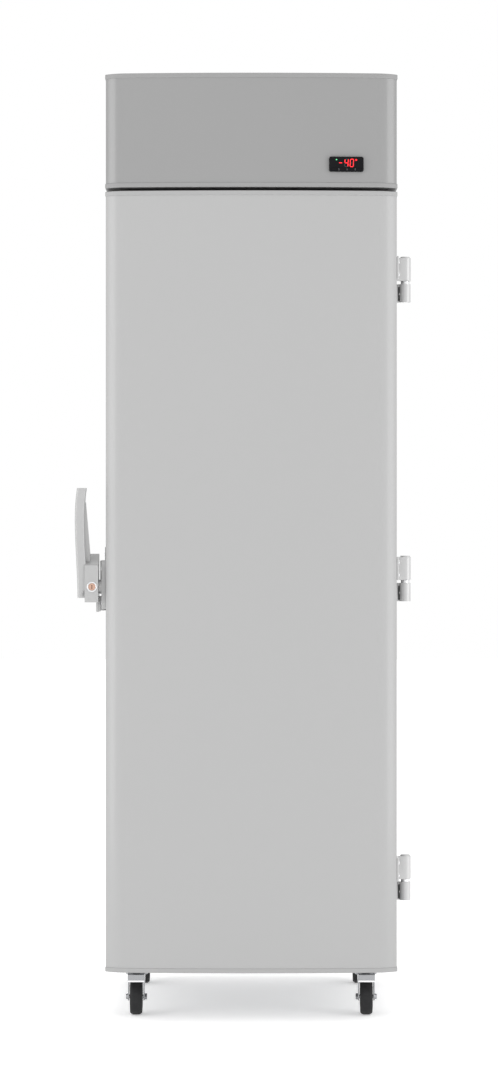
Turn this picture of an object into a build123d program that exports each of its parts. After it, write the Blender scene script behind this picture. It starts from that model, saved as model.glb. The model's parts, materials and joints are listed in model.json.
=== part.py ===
from build123d import *
import math
import os

# Upright medical freezer on casters, with a bowed door and a refrigeration head on top
# X runs across the front, Y from the front to the back, Z up, all in millimetres
# The origin is on the floor, in the middle of the width and of the depth

os.makedirs("parts", exist_ok=True)

# Envelope
width = 600
depth = 700
height = 1950
base_height = 95

# Bowed front: a long arc with a tighter arc at each corner
bow_radius = 3590
corner_width = 42
corner_depth = 17.5
corner_follow = 0.4

# Levels
head_height = 234
door_top_gap = 7
door_bottom_gap = 9
trim_height = 9.5
trim_overhang = 1

# Door and insulated walls
door_thickness = 80
gasket_gap = 15
sheet = 1
liner_sheet = 0.8
wall = 85
floor_wall = 90
roof_wall = 96
rear_wall = 84
case_flange = 20
breaker_thickness = 4
breaker_lip = 24
breaker_wall = 3
rear_bead = 2

# Worked-out planes
front_y = -depth / 2
rear_y = depth / 2
case_front_y = front_y + door_thickness + gasket_gap
door_back_y = front_y + door_thickness
panel_y = rear_y - rear_bead
head_bottom = height - head_height
door_top = head_bottom - door_top_gap
door_bottom = base_height + door_bottom_gap
half_width = width / 2
bow_half = half_width - corner_width
bow_drop = bow_radius - math.sqrt(bow_radius**2 - bow_half**2)
edge_drop = bow_drop + corner_depth


def save(piece, name):
    piece.part.label = name
    export_step(piece.part, f"parts/{name}.step")


def plan(level, inset, back_y):
    """Plan view of the bowed front, drawn inset from the outer face, back to back_y."""
    edge_x = half_width - inset
    edge_y = front_y + edge_drop + inset * corner_follow
    bow_y = front_y + bow_drop + inset
    with BuildSketch(Plane.XY.offset(level)) as outline:
        with BuildLine():
            bow = ThreePointArc((-bow_half, bow_y), (0, front_y + inset), (bow_half, bow_y))
            right = TangentArc((bow_half, bow_y), (edge_x, edge_y), tangent=bow % 1)
            left = mirror(right, about=Plane.YZ)
            Polyline((edge_x, edge_y), (edge_x, back_y), (-edge_x, back_y), (-edge_x, edge_y))
        make_face()
    return outline.sketch


def box(x0, x1, y0, y1, z0, z1, mode=Mode.ADD):
    """Rectangular block between two corners, in the part that is being built."""
    with BuildSketch(Plane.XY.offset(z0)) as footprint:
        with Locations(((x0 + x1) / 2, (y0 + y1) / 2)):
            Rectangle(x1 - x0, y1 - y0)
    extrude(footprint.sketch, amount=z1 - z0, mode=mode)


# Insulated cabinet: steel case, foam, plastic breaker frame and stainless liner
liner_half = half_width - wall
liner_bottom = base_height + floor_wall
liner_top = head_bottom - roof_wall
liner_back_y = panel_y - sheet - rear_wall
breaker_back_y = case_front_y + breaker_thickness
flange_inner = half_width - case_flange

with BuildPart() as outer_case:
    box(-half_width, half_width, case_front_y, panel_y, base_height, head_bottom)
    box(
        -half_width + sheet,
        half_width - sheet,
        case_front_y + sheet,
        panel_y,
        base_height,
        head_bottom - sheet,
        mode=Mode.SUBTRACT,
    )
    box(
        -flange_inner,
        flange_inner,
        case_front_y,
        case_front_y + sheet,
        base_height + case_flange,
        head_bottom - case_flange,
        mode=Mode.SUBTRACT,
    )
save(outer_case, "outer_case")

bead_count = 5
bead_height = 26
bead_taper = 20
bead_length = width - 150
bead_pitch = (head_bottom - base_height) / (bead_count + 1)
with BuildPart() as rear_panel:
    box(
        -half_width + sheet,
        half_width - sheet,
        panel_y - sheet,
        panel_y,
        base_height + 2 * sheet,
        head_bottom - sheet,
    )
    with BuildSketch(Plane.XZ.offset(-panel_y)) as beads:
        for bead in range(bead_count):
            with Locations((0, base_height + bead_pitch * (bead + 1))):
                RectangleRounded(bead_length, bead_height, bead_height / 2 - 1)
    extrude(beads.sketch, amount=-rear_bead, taper=bead_taper)
save(rear_panel, "rear_panel")

pan_rim = 18
rail_inset = 59
rail_half = 34
rail_sheet = 2
with BuildPart() as base_pan:
    box(
        -half_width + sheet,
        half_width - sheet,
        case_front_y + sheet,
        panel_y,
        base_height,
        base_height + 2 * sheet,
    )
    for side in (-1, 1):
        rail_x = side * (half_width - rail_inset)
        box(
            rail_x - rail_half,
            rail_x + rail_half,
            case_front_y + 3 * sheet,
            panel_y - 3 * sheet,
            base_height + 2 * sheet,
            base_height + 2 * sheet + pan_rim,
        )
        box(
            rail_x - rail_half + rail_sheet,
            rail_x + rail_half - rail_sheet,
            case_front_y + 5 * sheet,
            panel_y - 5 * sheet,
            base_height + 2 * sheet,
            base_height + pan_rim,
            mode=Mode.SUBTRACT,
        )
save(base_pan, "base_pan")

# Cold-wall evaporator: a roll-bonded plate with one raised serpentine channel
plate_thickness = 1.5
plate_margin = 25
plate_end = 90
plate_half = liner_half - plate_margin
plate_bottom = liner_bottom + plate_end
plate_top = liner_top - plate_end
channel_width = 11
channel_height = 4
channel_runs = 9
channel_bend = 22
channel_margin = 30
channel_end = 20
foam_clearance = 0.5
channel_pitch = (plate_top - plate_bottom - 2 * channel_margin) / (channel_runs - 1)

with BuildPart() as evaporator_plate:
    box(
        -plate_half,
        plate_half,
        liner_back_y,
        liner_back_y + plate_thickness,
        plate_bottom,
        plate_top,
    )
    corners = []
    for run in range(channel_runs):
        run_z = plate_bottom + channel_margin + run * channel_pitch
        reach = plate_half - channel_end
        start = -reach if run % 2 == 0 else reach
        corners.append((start, run_z))
        corners.append((-start, run_z))
    with BuildSketch(Plane.XZ.offset(-liner_back_y - plate_thickness)) as channel:
        with BuildLine():
            FilletPolyline(*corners, radius=channel_bend)
        trace(line_width=channel_width)
    extrude(channel.sketch, amount=-channel_height)
save(evaporator_plate, "evaporator_plate")

with BuildPart() as cabinet_foam:
    box(
        -half_width + sheet,
        half_width - sheet,
        breaker_back_y + liner_sheet,
        panel_y - sheet,
        base_height + 2 * sheet,
        head_bottom - sheet,
    )
    box(
        -liner_half,
        liner_half,
        breaker_back_y,
        liner_back_y,
        liner_bottom,
        liner_top,
        mode=Mode.SUBTRACT,
    )
    box(
        -plate_half - foam_clearance,
        plate_half + foam_clearance,
        liner_back_y - foam_clearance,
        liner_back_y + plate_thickness + channel_height + foam_clearance,
        plate_bottom - foam_clearance,
        plate_top + foam_clearance,
        mode=Mode.SUBTRACT,
    )
    for side in (-1, 1):
        rail_x = side * (half_width - rail_inset)
        box(
            rail_x - rail_half,
            rail_x + rail_half,
            case_front_y,
            panel_y,
            base_height + 2 * sheet,
            base_height + 2 * sheet + pan_rim,
            mode=Mode.SUBTRACT,
        )
save(cabinet_foam, "cabinet_foam")

liner_flange = 18
with BuildPart() as inner_liner:
    box(-liner_half, liner_half, breaker_back_y, liner_back_y, liner_bottom, liner_top)
    box(
        -liner_half - liner_flange,
        liner_half + liner_flange,
        breaker_back_y,
        breaker_back_y + liner_sheet,
        liner_bottom - liner_flange,
        liner_top + liner_flange,
    )
    box(
        -liner_half + liner_sheet,
        liner_half - liner_sheet,
        breaker_back_y,
        liner_back_y - liner_sheet,
        liner_bottom + liner_sheet,
        liner_top - liner_sheet,
        mode=Mode.SUBTRACT,
    )
save(inner_liner, "inner_liner")

lip_outer = liner_half - liner_sheet
with BuildPart() as breaker_frame:
    box(
        -flange_inner,
        flange_inner,
        case_front_y,
        breaker_back_y,
        base_height + case_flange,
        head_bottom - case_flange,
    )
    box(
        -lip_outer,
        lip_outer,
        case_front_y,
        breaker_back_y + breaker_lip,
        liner_bottom + liner_sheet,
        liner_top - liner_sheet,
    )
    box(
        -lip_outer + breaker_wall,
        lip_outer - breaker_wall,
        case_front_y,
        breaker_back_y + breaker_lip,
        liner_bottom + liner_sheet + breaker_wall,
        liner_top - liner_sheet - breaker_wall,
        mode=Mode.SUBTRACT,
    )
save(breaker_frame, "breaker_frame")

# Shelves on slotted uprights, four clips to a shelf
shelf_count = 4
upright_width = 22
upright_depth = 9
upright_pitch = 90
upright_sheet = 1.2
upright_margin = 30
upright_front = 110
upright_back = 90
upright_slot = 6
slot_depth = 2
shelf_drop = 22
shelf_sheet = 1.2
side_clearance = 2
clip_width = 14
upright_bottom = liner_bottom + upright_margin
upright_top = liner_top - upright_margin
upright_front_y = case_front_y + upright_front
upright_back_y = liner_back_y - upright_back
inner_half = liner_half - liner_sheet
upright_face = inner_half - upright_depth
shelf_pitch = (liner_top - liner_bottom) / (shelf_count + 1)

with BuildPart() as shelf_uprights:
    for side in (-1, 1):
        outer_x = side * inner_half
        face_x = side * upright_face
        for centre_y in (upright_front_y, upright_back_y):
            box(
                min(outer_x, face_x),
                max(outer_x, face_x),
                centre_y - upright_width / 2,
                centre_y + upright_width / 2,
                upright_bottom,
                upright_top,
            )
            box(
                min(outer_x, face_x + side * upright_sheet),
                max(outer_x, face_x + side * upright_sheet),
                centre_y - upright_width / 2 + upright_sheet,
                centre_y + upright_width / 2 - upright_sheet,
                upright_bottom,
                upright_top,
                mode=Mode.SUBTRACT,
            )
            slot_z = upright_bottom + upright_pitch / 2
            while slot_z < upright_top - upright_pitch / 2:
                box(
                    min(face_x, face_x + side * slot_depth),
                    max(face_x, face_x + side * slot_depth),
                    centre_y - clip_width / 2,
                    centre_y + clip_width / 2,
                    slot_z - upright_slot / 2,
                    slot_z + upright_slot / 2,
                    mode=Mode.SUBTRACT,
                )
                slot_z += upright_pitch
save(shelf_uprights, "shelf_uprights")

clip_reach = 12
clip_sheet = 1.5
clip_drop = 18
with BuildPart() as shelf_clips:
    for shelf in range(shelf_count):
        clip_z = liner_bottom + shelf_pitch * (shelf + 1)
        for side in (-1, 1):
            face_x = side * upright_face
            tip_x = face_x - side * clip_reach
            thin_x = face_x - side * clip_sheet
            for centre_y in (upright_front_y, upright_back_y):
                y0 = centre_y - clip_width / 2
                y1 = centre_y + clip_width / 2
                box(min(face_x, thin_x), max(face_x, thin_x), y0, y1, clip_z - clip_drop, clip_z)
                box(min(face_x, tip_x), max(face_x, tip_x), y0, y1, clip_z - clip_sheet, clip_z)
save(shelf_clips, "shelf_clips")

shelf_half = upright_face - side_clearance
shelf_front_gap = 10
shelf_back_gap = 12
shelf_front_y = breaker_back_y + breaker_lip + shelf_front_gap
shelf_back_y = liner_back_y - liner_sheet - shelf_back_gap
slot_rows = 5
slot_columns = 3
slot_width = 16
slot_length = shelf_half * 0.45
for shelf in range(shelf_count):
    shelf_z = liner_bottom + shelf_pitch * (shelf + 1)
    shelf_depth = shelf_back_y - shelf_front_y
    with BuildPart() as shelf_tray:
        box(
            -shelf_half,
            shelf_half,
            shelf_front_y,
            shelf_back_y,
            shelf_z,
            shelf_z + shelf_drop,
        )
        box(
            -shelf_half + shelf_sheet,
            shelf_half - shelf_sheet,
            shelf_front_y + shelf_sheet,
            shelf_back_y - shelf_sheet,
            shelf_z + shelf_sheet,
            shelf_z + shelf_drop,
            mode=Mode.SUBTRACT,
        )
        with BuildSketch(Plane.XY.offset(shelf_z)) as vents:
            with Locations((0, (shelf_front_y + shelf_back_y) / 2)):
                with GridLocations(
                    slot_length * 4 / slot_columns, shelf_depth / (slot_rows + 1), slot_columns, slot_rows
                ):
                    Rectangle(slot_length, slot_width)
        extrude(vents.sketch, amount=shelf_sheet, mode=Mode.SUBTRACT)
    save(shelf_tray, f"shelf_{shelf + 1}")

# Door: bowed steel skin, foam core, inner pan with a plug, magnetic gasket and end trims
door_skin_sheet = 1
skin_bottom = door_bottom + trim_height
skin_top = door_top - trim_height
plug_clearance = 6
plug_depth = 26
plug_inset = liner_sheet + breaker_wall + plug_clearance
plug_half = liner_half - plug_inset
plug_bottom = liner_bottom + plug_inset
plug_top = liner_top - plug_inset
skin_return = 16
plug_corner = 14
pan_sheet = 1.5

with BuildPart() as door_skin:
    extrude(plan(skin_bottom, 0, door_back_y), amount=skin_top - skin_bottom)
    extrude(
        plan(skin_bottom, door_skin_sheet, door_back_y - door_skin_sheet),
        amount=skin_top - skin_bottom,
        mode=Mode.SUBTRACT,
    )
    box(
        -half_width + skin_return,
        half_width - skin_return,
        door_back_y - door_skin_sheet,
        door_back_y,
        skin_bottom,
        skin_top,
        mode=Mode.SUBTRACT,
    )
save(door_skin, "door_skin")

pan_half = half_width - skin_return
pan_front_y = door_back_y - pan_sheet
with BuildPart() as door_liner:
    box(-pan_half, pan_half, pan_front_y, door_back_y, skin_bottom, skin_top)
    box(-plug_half, plug_half, pan_front_y, case_front_y + plug_depth, plug_bottom, plug_top)
    plug_edges = door_liner.edges().filter_by(Axis.Y).group_by(Axis.Y)[-1]
    fillet(plug_edges, plug_corner)
    box(
        -plug_half + pan_sheet,
        plug_half - pan_sheet,
        pan_front_y,
        case_front_y + plug_depth - pan_sheet,
        plug_bottom + pan_sheet,
        plug_top - pan_sheet,
        mode=Mode.SUBTRACT,
    )
save(door_liner, "door_liner")

with BuildPart() as door_foam:
    extrude(
        plan(skin_bottom, door_skin_sheet, pan_front_y),
        amount=skin_top - skin_bottom,
    )
    box(
        -plug_half + pan_sheet,
        plug_half - pan_sheet,
        pan_front_y,
        case_front_y + plug_depth - pan_sheet,
        plug_bottom + pan_sheet,
        plug_top - pan_sheet,
    )
save(door_foam, "door_foam")

gasket_width = 24
gasket_inset = 12
gasket_lift = 8
bellows_depth = 4
bellows_groove = 2
gasket_outer = half_width - gasket_inset
gasket_bottom = skin_bottom + gasket_lift
gasket_top = skin_top - gasket_inset
gasket_squeeze = 0.3
with BuildPart() as door_gasket:
    with BuildSketch(Plane.XZ.offset(-door_back_y)) as gasket_ring:
        with Locations((0, (gasket_bottom + gasket_top) / 2)):
            RectangleRounded(2 * gasket_outer, gasket_top - gasket_bottom, gasket_inset)
            Rectangle(
                2 * (gasket_outer - gasket_width),
                gasket_top - gasket_bottom - 2 * gasket_width,
                mode=Mode.SUBTRACT,
            )
    extrude(gasket_ring.sketch, amount=-(gasket_gap - gasket_squeeze))
    bellows_y = door_back_y + gasket_gap / 2
    with BuildSketch(Plane.XZ.offset(-bellows_y + bellows_depth / 2)) as bellows_ring:
        with Locations((0, (gasket_bottom + gasket_top) / 2)):
            Rectangle(2 * gasket_outer, gasket_top - gasket_bottom)
            Rectangle(
                2 * (gasket_outer - bellows_groove),
                gasket_top - gasket_bottom - 2 * bellows_groove,
                mode=Mode.SUBTRACT,
            )
    extrude(bellows_ring.sketch, amount=-bellows_depth, mode=Mode.SUBTRACT)
save(door_gasket, "door_gasket")

with BuildPart() as door_trims:
    for level in (door_bottom, skin_top):
        extrude(plan(level, -trim_overhang, door_back_y), amount=trim_height)
save(door_trims, "door_trims")

# Refrigeration head: bowed shell, two trims, lift-off cover and a louvred rear grille
shell_sheet = 1.2
shell_bottom = head_bottom + trim_height
shell_top = height - trim_height
trim_rim = 14
grille_thickness = 1.5
cover_inset = 3
cover_gap = 0.3
cover_sheet = 2
cover_rim = 28
cover_rim_depth = 70
head_setback = 12

controller_x = 194.7
controller_rise = 46.6
controller_z = head_bottom + controller_rise
controller_tilt = math.asin(controller_x / bow_radius)
controller_y = front_y + bow_radius - bow_radius * math.cos(controller_tilt)
controller_normal = (math.sin(controller_tilt), -math.cos(controller_tilt), 0)
controller_across = (math.cos(controller_tilt), math.sin(controller_tilt), 0)
bezel_width = 71
bezel_height = 31
bezel_corner = 4.3
bezel_thickness = 5
case_width = 65
case_height = 26
case_depth = 58
cutout_reach = 20
panel_clearance = 0.5


def controller_plane(forward):
    """Plane of the controller, forward of the shell's skin by the given distance."""
    return Plane(
        origin=(
            controller_x + controller_normal[0] * forward,
            controller_y + controller_normal[1] * forward,
            controller_z,
        ),
        x_dir=controller_across,
        z_dir=controller_normal,
    )


with BuildPart() as head_shell:
    extrude(plan(shell_bottom, 0, panel_y), amount=shell_top - shell_bottom)
    extrude(
        plan(shell_bottom, shell_sheet, rear_y),
        amount=shell_top - shell_bottom,
        mode=Mode.SUBTRACT,
    )
    with BuildSketch(controller_plane(cutout_reach)) as cutout:
        Rectangle(case_width + 2 * panel_clearance, case_height + 2 * panel_clearance)
    extrude(cutout.sketch, amount=-3 * cutout_reach, mode=Mode.SUBTRACT)
save(head_shell, "head_shell")

head_floor_y = case_front_y + head_setback
with BuildPart() as head_trims:
    extrude(plan(head_bottom, -trim_overhang, panel_y), amount=trim_height)
    extrude(plan(shell_top, -trim_overhang, panel_y), amount=trim_height)
    box(
        -half_width + trim_rim,
        half_width - trim_rim,
        head_floor_y,
        panel_y,
        head_bottom,
        shell_bottom,
        mode=Mode.SUBTRACT,
    )
    extrude(plan(shell_top, trim_rim, panel_y - trim_rim), amount=trim_height, mode=Mode.SUBTRACT)
save(head_trims, "head_trims")

with BuildPart() as top_cover:
    extrude(
        plan(shell_top, trim_rim + cover_gap, panel_y - trim_rim - cover_gap),
        amount=trim_height - cover_inset,
    )
    with BuildSketch(Plane.XY.offset(shell_top)) as hollow:
        Rectangle(width - 2 * cover_rim, depth - 2 * cover_rim_depth)
    extrude(hollow.sketch, amount=trim_height - cover_inset - cover_sheet, mode=Mode.SUBTRACT)
save(top_cover, "top_cover")

louvre_count = 9
louvre_width = 474
louvre_pitch = 15
louvre_height = 6
louvre_centre_x = -40
hood_height = 3
hood_gap = 0.5
hood_taper = 25
louvre_gap = 12
hood_rise = louvre_height / 2 + hood_height / 2 + hood_gap
louvre_half = (louvre_width - louvre_gap) / 2
grille_y = panel_y - grille_thickness
inlet_inset = 60
inlet_x = half_width - inlet_inset
inlet_z = head_bottom + inlet_inset
inlet_width = 50
inlet_height = 28
inlet_corner = 4
body_width = 26
body_height = 18
body_depth = 24
socket_wall = 2
socket_depth = 20
contact_pitch = 7
contact_width = 2
contact_height = 4
contact_length = 14
with BuildPart() as rear_grille:
    box(
        -half_width + shell_sheet,
        half_width - shell_sheet,
        grille_y,
        panel_y,
        shell_bottom,
        shell_top,
    )
    grille_centre = (shell_bottom + shell_top) / 2
    with BuildSketch(Plane.XZ.offset(-panel_y)) as hoods:
        with Locations((louvre_centre_x, grille_centre + hood_rise)):
            with GridLocations(louvre_half + louvre_gap, louvre_pitch, 2, louvre_count):
                Rectangle(louvre_half, hood_height)
    extrude(hoods.sketch, amount=-rear_bead, taper=hood_taper)
    with BuildSketch(Plane.XZ.offset(-grille_y)) as louvres:
        with Locations((louvre_centre_x, grille_centre)):
            with GridLocations(louvre_half + louvre_gap, louvre_pitch, 2, louvre_count):
                Rectangle(louvre_half, louvre_height)
        with Locations((inlet_x, inlet_z)):
            Rectangle(body_width + contact_width, body_height + contact_width)
    extrude(louvres.sketch, amount=-grille_thickness, mode=Mode.SUBTRACT)
save(rear_grille, "rear_grille")

with BuildPart() as power_inlet:
    with BuildSketch(Plane.XZ.offset(-panel_y)) as inlet_flange:
        with Locations((inlet_x, inlet_z)):
            RectangleRounded(inlet_width, inlet_height, inlet_corner)
    extrude(inlet_flange.sketch, amount=-rear_bead)
    with BuildSketch(Plane.XZ.offset(-panel_y)) as inlet_body:
        with Locations((inlet_x, inlet_z)):
            Rectangle(body_width, body_height)
    extrude(inlet_body.sketch, amount=body_depth)
    with BuildSketch(Plane.XZ.offset(-rear_y)) as inlet_socket:
        with Locations((inlet_x, inlet_z)):
            Rectangle(body_width - 2 * socket_wall, body_height - 2 * socket_wall)
    extrude(inlet_socket.sketch, amount=socket_depth, mode=Mode.SUBTRACT)
    for pin_offset in (-contact_pitch, 0, contact_pitch):
        with BuildSketch(Plane.XZ.offset(-rear_y + socket_depth)) as contact:
            with Locations((inlet_x + pin_offset, inlet_z)):
                Rectangle(contact_width, contact_height)
        extrude(contact.sketch, amount=-contact_length)
save(power_inlet, "power_inlet")

# Machinery on the cabinet's top: compressor, condenser, fan, drier, pipes and relay box
deck = head_bottom
compressor_x = 165
compressor_inset = 150
compressor_y = rear_y - compressor_inset
compressor_radius = 72
compressor_foot = 16
compressor_body = 150
compressor_skirt = 8
compressor_dome = 44
skirt_inset = 14
seam = 6
grommet_spacing = 128
grommet_spacing_y = 102
foot_margin = 15
foot_corner = 12
grommet_radius = 11
stud_radius = 5
foot_plate = 3

with BuildPart() as compressor:
    shell_low = deck + compressor_foot + foot_plate
    with BuildSketch(Plane.XY.offset(deck + compressor_foot)) as foot:
        with Locations((compressor_x, compressor_y)):
            RectangleRounded(
                grommet_spacing + 2 * foot_margin, grommet_spacing_y + 2 * foot_margin, foot_corner
            )
            with GridLocations(grommet_spacing, grommet_spacing_y, 2, 2):
                Circle(stud_radius, mode=Mode.SUBTRACT)
    extrude(foot.sketch, amount=foot_plate)
    with BuildSketch(Plane.XY.offset(shell_low)) as skirt:
        with Locations((compressor_x, compressor_y)):
            Circle(compressor_radius - skirt_inset)
    extrude(skirt.sketch, amount=compressor_skirt)
    with BuildSketch(Plane.XY.offset(shell_low + compressor_skirt)) as can:
        with Locations((compressor_x, compressor_y)):
            Circle(compressor_radius)
    extrude(can.sketch, amount=compressor_body)
    dome_edge = compressor.edges().filter_by(GeomType.CIRCLE).sort_by(Axis.Z)[-1]
    fillet(dome_edge, compressor_dome)
    seam_edge = compressor.edges().filter_by(GeomType.CIRCLE).filter_by(
        lambda edge: abs(edge.radius - compressor_radius) < 1
    )
    chamfer(seam_edge.sort_by(Axis.Z)[0], seam)
save(compressor, "compressor")

with BuildPart() as compressor_grommets:
    with BuildSketch(Plane.XY.offset(deck)) as grommet_feet:
        with Locations((compressor_x, compressor_y)):
            with GridLocations(grommet_spacing, grommet_spacing_y, 2, 2):
                Circle(grommet_radius)
    extrude(grommet_feet.sketch, amount=compressor_foot)
save(compressor_grommets, "compressor_grommets")

fin_pitch = 16
fin_count = 15
fin_thickness = 0.8
condenser_depth = 56
condenser_height = 168
condenser_x = -130
grille_space = 24
condenser_lift = 16
plate_overlap = 2
tube_sides = 8
condenser_back_y = grille_y - grille_space
condenser_bottom = deck + condenser_lift
condenser_half = fin_pitch * (fin_count - 1) / 2
tube_rows = 4
tube_radius = 4.8
end_plate = 2
condenser_front_y = condenser_back_y - condenser_depth
with BuildPart() as condenser:
    for fin in range(fin_count):
        fin_x = condenser_x - condenser_half + fin * fin_pitch
        box(
            fin_x - fin_thickness / 2,
            fin_x + fin_thickness / 2,
            condenser_front_y,
            condenser_back_y,
            condenser_bottom,
            condenser_bottom + condenser_height,
        )
    with BuildSketch(Plane.YZ.offset(condenser_x - condenser_half - fin_pitch)) as tubes:
        with Locations(
            ((condenser_front_y + condenser_back_y) / 2, condenser_bottom + condenser_height / 2)
        ):
            with GridLocations(condenser_depth / 2, condenser_height / tube_rows, 2, tube_rows):
                RegularPolygon(tube_radius, tube_sides)
    extrude(tubes.sketch, amount=2 * (condenser_half + fin_pitch))
    for side in (-1, 1):
        plate_x = condenser_x + side * (condenser_half + fin_pitch / 2)
        box(
            plate_x - end_plate / 2,
            plate_x + end_plate / 2,
            condenser_front_y - plate_overlap,
            condenser_back_y + plate_overlap,
            deck,
            condenser_bottom + condenser_height + plate_overlap,
        )
save(condenser, "condenser")

fan_radius = 76
fan_blades_count = 5
fan_depth = 24
fan_hub_radius = 22
fan_x = condenser_x
fan_z = condenser_bottom + condenser_height / 2
shroud_depth = 34
shroud_sheet = 1.5
tip_gap = 4
fan_y = condenser_front_y - shroud_depth
shaft_radius = 3
shaft_clearance = 0.08
motor_radius = 34
motor_length = 44
motor_gap = 12
motor_corner = 12
motor_extra = 5
shroud_lift = 4
throat_reach = 4
strut_thickness = 3
strut_height = 8
strut_offset = 36
post_half = 4

with BuildPart() as fan_shroud:
    shroud_half = condenser_half + fin_pitch / 2 - end_plate
    box(
        fan_x - shroud_half,
        fan_x + shroud_half,
        fan_y,
        condenser_front_y,
        deck + shroud_lift,
        condenser_bottom + condenser_height,
    )
    box(
        fan_x - shroud_half + shroud_sheet,
        fan_x + shroud_half - shroud_sheet,
        fan_y + shroud_sheet,
        condenser_front_y,
        deck + shroud_lift + shroud_sheet,
        condenser_bottom + condenser_height - shroud_sheet,
        mode=Mode.SUBTRACT,
    )
    with BuildSketch(Plane.XZ.offset(-fan_y + throat_reach)) as throat:
        with Locations((fan_x, fan_z)):
            Circle(fan_radius + tip_gap + shroud_sheet)
    extrude(throat.sketch, amount=-throat_reach - shroud_sheet)
    with BuildSketch(Plane.XZ.offset(-fan_y + 2 * throat_reach)) as mouth:
        with Locations((fan_x, fan_z)):
            Circle(fan_radius + tip_gap)
    extrude(mouth.sketch, amount=-3 * throat_reach - shroud_sheet, mode=Mode.SUBTRACT)
    for strut_z in (fan_z - strut_offset, fan_z + strut_offset):
        box(
            fan_x - shroud_half,
            fan_x + shroud_half,
            fan_y - motor_gap,
            fan_y - motor_gap + strut_thickness,
            strut_z - strut_height / 2,
            strut_z + strut_height / 2,
        )
    for side in (-1, 1):
        post_x = fan_x + side * (shroud_half - post_half)
        box(
            post_x - post_half,
            post_x + post_half,
            fan_y - motor_gap,
            fan_y,
            fan_z - strut_offset - strut_height / 2,
            fan_z + strut_offset + strut_height / 2,
        )
save(fan_shroud, "fan_shroud")

with BuildPart() as fan_motor:
    with BuildSketch(Plane.XZ.offset(-fan_y + motor_gap)) as motor_face:
        with Locations((fan_x, fan_z)):
            RectangleRounded(2 * motor_radius, 2 * (motor_radius + motor_extra), motor_corner)
    extrude(motor_face.sketch, amount=motor_length)
    with BuildSketch(Plane.XZ.offset(-fan_y + motor_gap)) as shaft:
        with Locations((fan_x, fan_z)):
            Circle(shaft_radius)
    extrude(shaft.sketch, amount=-motor_gap - fan_depth)
save(fan_motor, "fan_motor")

blade_pitch = 60
blade_thickness = 2.5
blade_twist = 8
blade_root_chord = 20
blade_tip_chord = 44
blade_overlap = 6
hub_gap = 2
fan_reach = 20
with BuildPart() as fan_blades:
    with BuildSketch(Plane.XZ.offset(-fan_y + hub_gap)) as hub:
        with Locations((fan_x, fan_z)):
            Circle(fan_hub_radius)
    extrude(hub.sketch, amount=-fan_depth + hub_gap)
    blade_root = Plane(
        origin=(fan_x, fan_y + (fan_depth - hub_gap) / 2, fan_z), x_dir=(0, 1, 0), z_dir=(1, 0, 0)
    )
    for blade in range(fan_blades_count):
        turned = Plane(
            origin=blade_root.origin,
            x_dir=(0, 1, 0),
            z_dir=(
                math.cos(math.tau * blade / fan_blades_count),
                0,
                math.sin(math.tau * blade / fan_blades_count),
            ),
        )
        with BuildSketch(turned.offset(fan_hub_radius - blade_overlap)) as inner_blade:
            Rectangle(blade_root_chord, blade_thickness, rotation=blade_pitch)
        with BuildSketch(turned.offset(fan_radius - tip_gap)) as outer_blade:
            Rectangle(blade_tip_chord, blade_thickness, rotation=blade_pitch + blade_twist)
        loft(sections=[inner_blade.sketch, outer_blade.sketch])
    with BuildSketch(Plane.XZ.offset(-fan_y + fan_reach)) as trim_ring:
        with Locations((fan_x, fan_z)):
            Circle(fan_radius + fan_reach)
            Circle(fan_radius, mode=Mode.SUBTRACT)
    extrude(trim_ring.sketch, amount=-3 * fan_reach, mode=Mode.SUBTRACT)
    with BuildSketch(Plane.XZ.offset(-fan_y + fan_reach)) as shaft_bore:
        with Locations((fan_x, fan_z)):
            Circle(shaft_radius + shaft_clearance)
    extrude(shaft_bore.sketch, amount=-3 * fan_reach, mode=Mode.SUBTRACT)
save(fan_blades, "fan_blades")

filter_radius = 12
filter_length = 96
filter_x = 40
filter_y = 60
filter_lift = 30
filter_neck = 5
strap_margin = 2
strap_half = 3
with BuildPart() as filter_drier:
    with BuildSketch(Plane.XY.offset(deck + filter_lift)) as drier_body:
        with Locations((filter_x, filter_y)):
            Circle(filter_radius)
    extrude(drier_body.sketch, amount=filter_length)
    chamfer(filter_drier.edges().filter_by(GeomType.CIRCLE), filter_neck)
    box(
        filter_x - filter_radius - strap_margin,
        filter_x + filter_radius + strap_margin,
        filter_y - strap_half,
        filter_y + strap_half,
        deck,
        deck + 2 * filter_lift,
    )
save(filter_drier, "filter_drier")

# Copper pipes: suction down to the deck, discharge to the condenser, liquid line to the drier
pipe_radius = 4
pipe_bend = 10
suction_offset = 20
suction_rise = 20
suction_setback = 70
discharge_rise = 34
pipe_gap = 12
liquid_rise = 18
compressor_top = deck + compressor_foot + foot_plate + compressor_skirt + compressor_body
suction_x = compressor_x - suction_offset
suction_y = filter_y - suction_setback
discharge_y = compressor_y + suction_offset
coil_end_x = condenser_x + condenser_half + fin_pitch
coil_y = (condenser_front_y + condenser_back_y) / 2 - condenser_depth / 4
coil_rise = condenser_height / tube_rows * (tube_rows - 1) / 2
riser_x = coil_end_x + pipe_gap
filter_top = deck + filter_lift + filter_length


def pipe(route, name):
    """Round pipe along a route of corners, saved under its name."""
    with BuildPart() as tube:
        with BuildLine() as path:
            FilletPolyline(*route, radius=pipe_bend)
        with BuildSketch(Plane(origin=path.line @ 0, z_dir=path.line % 0)) as section:
            Circle(pipe_radius)
        sweep(sections=section.sketch, path=path.line)
    save(tube, name)


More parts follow.
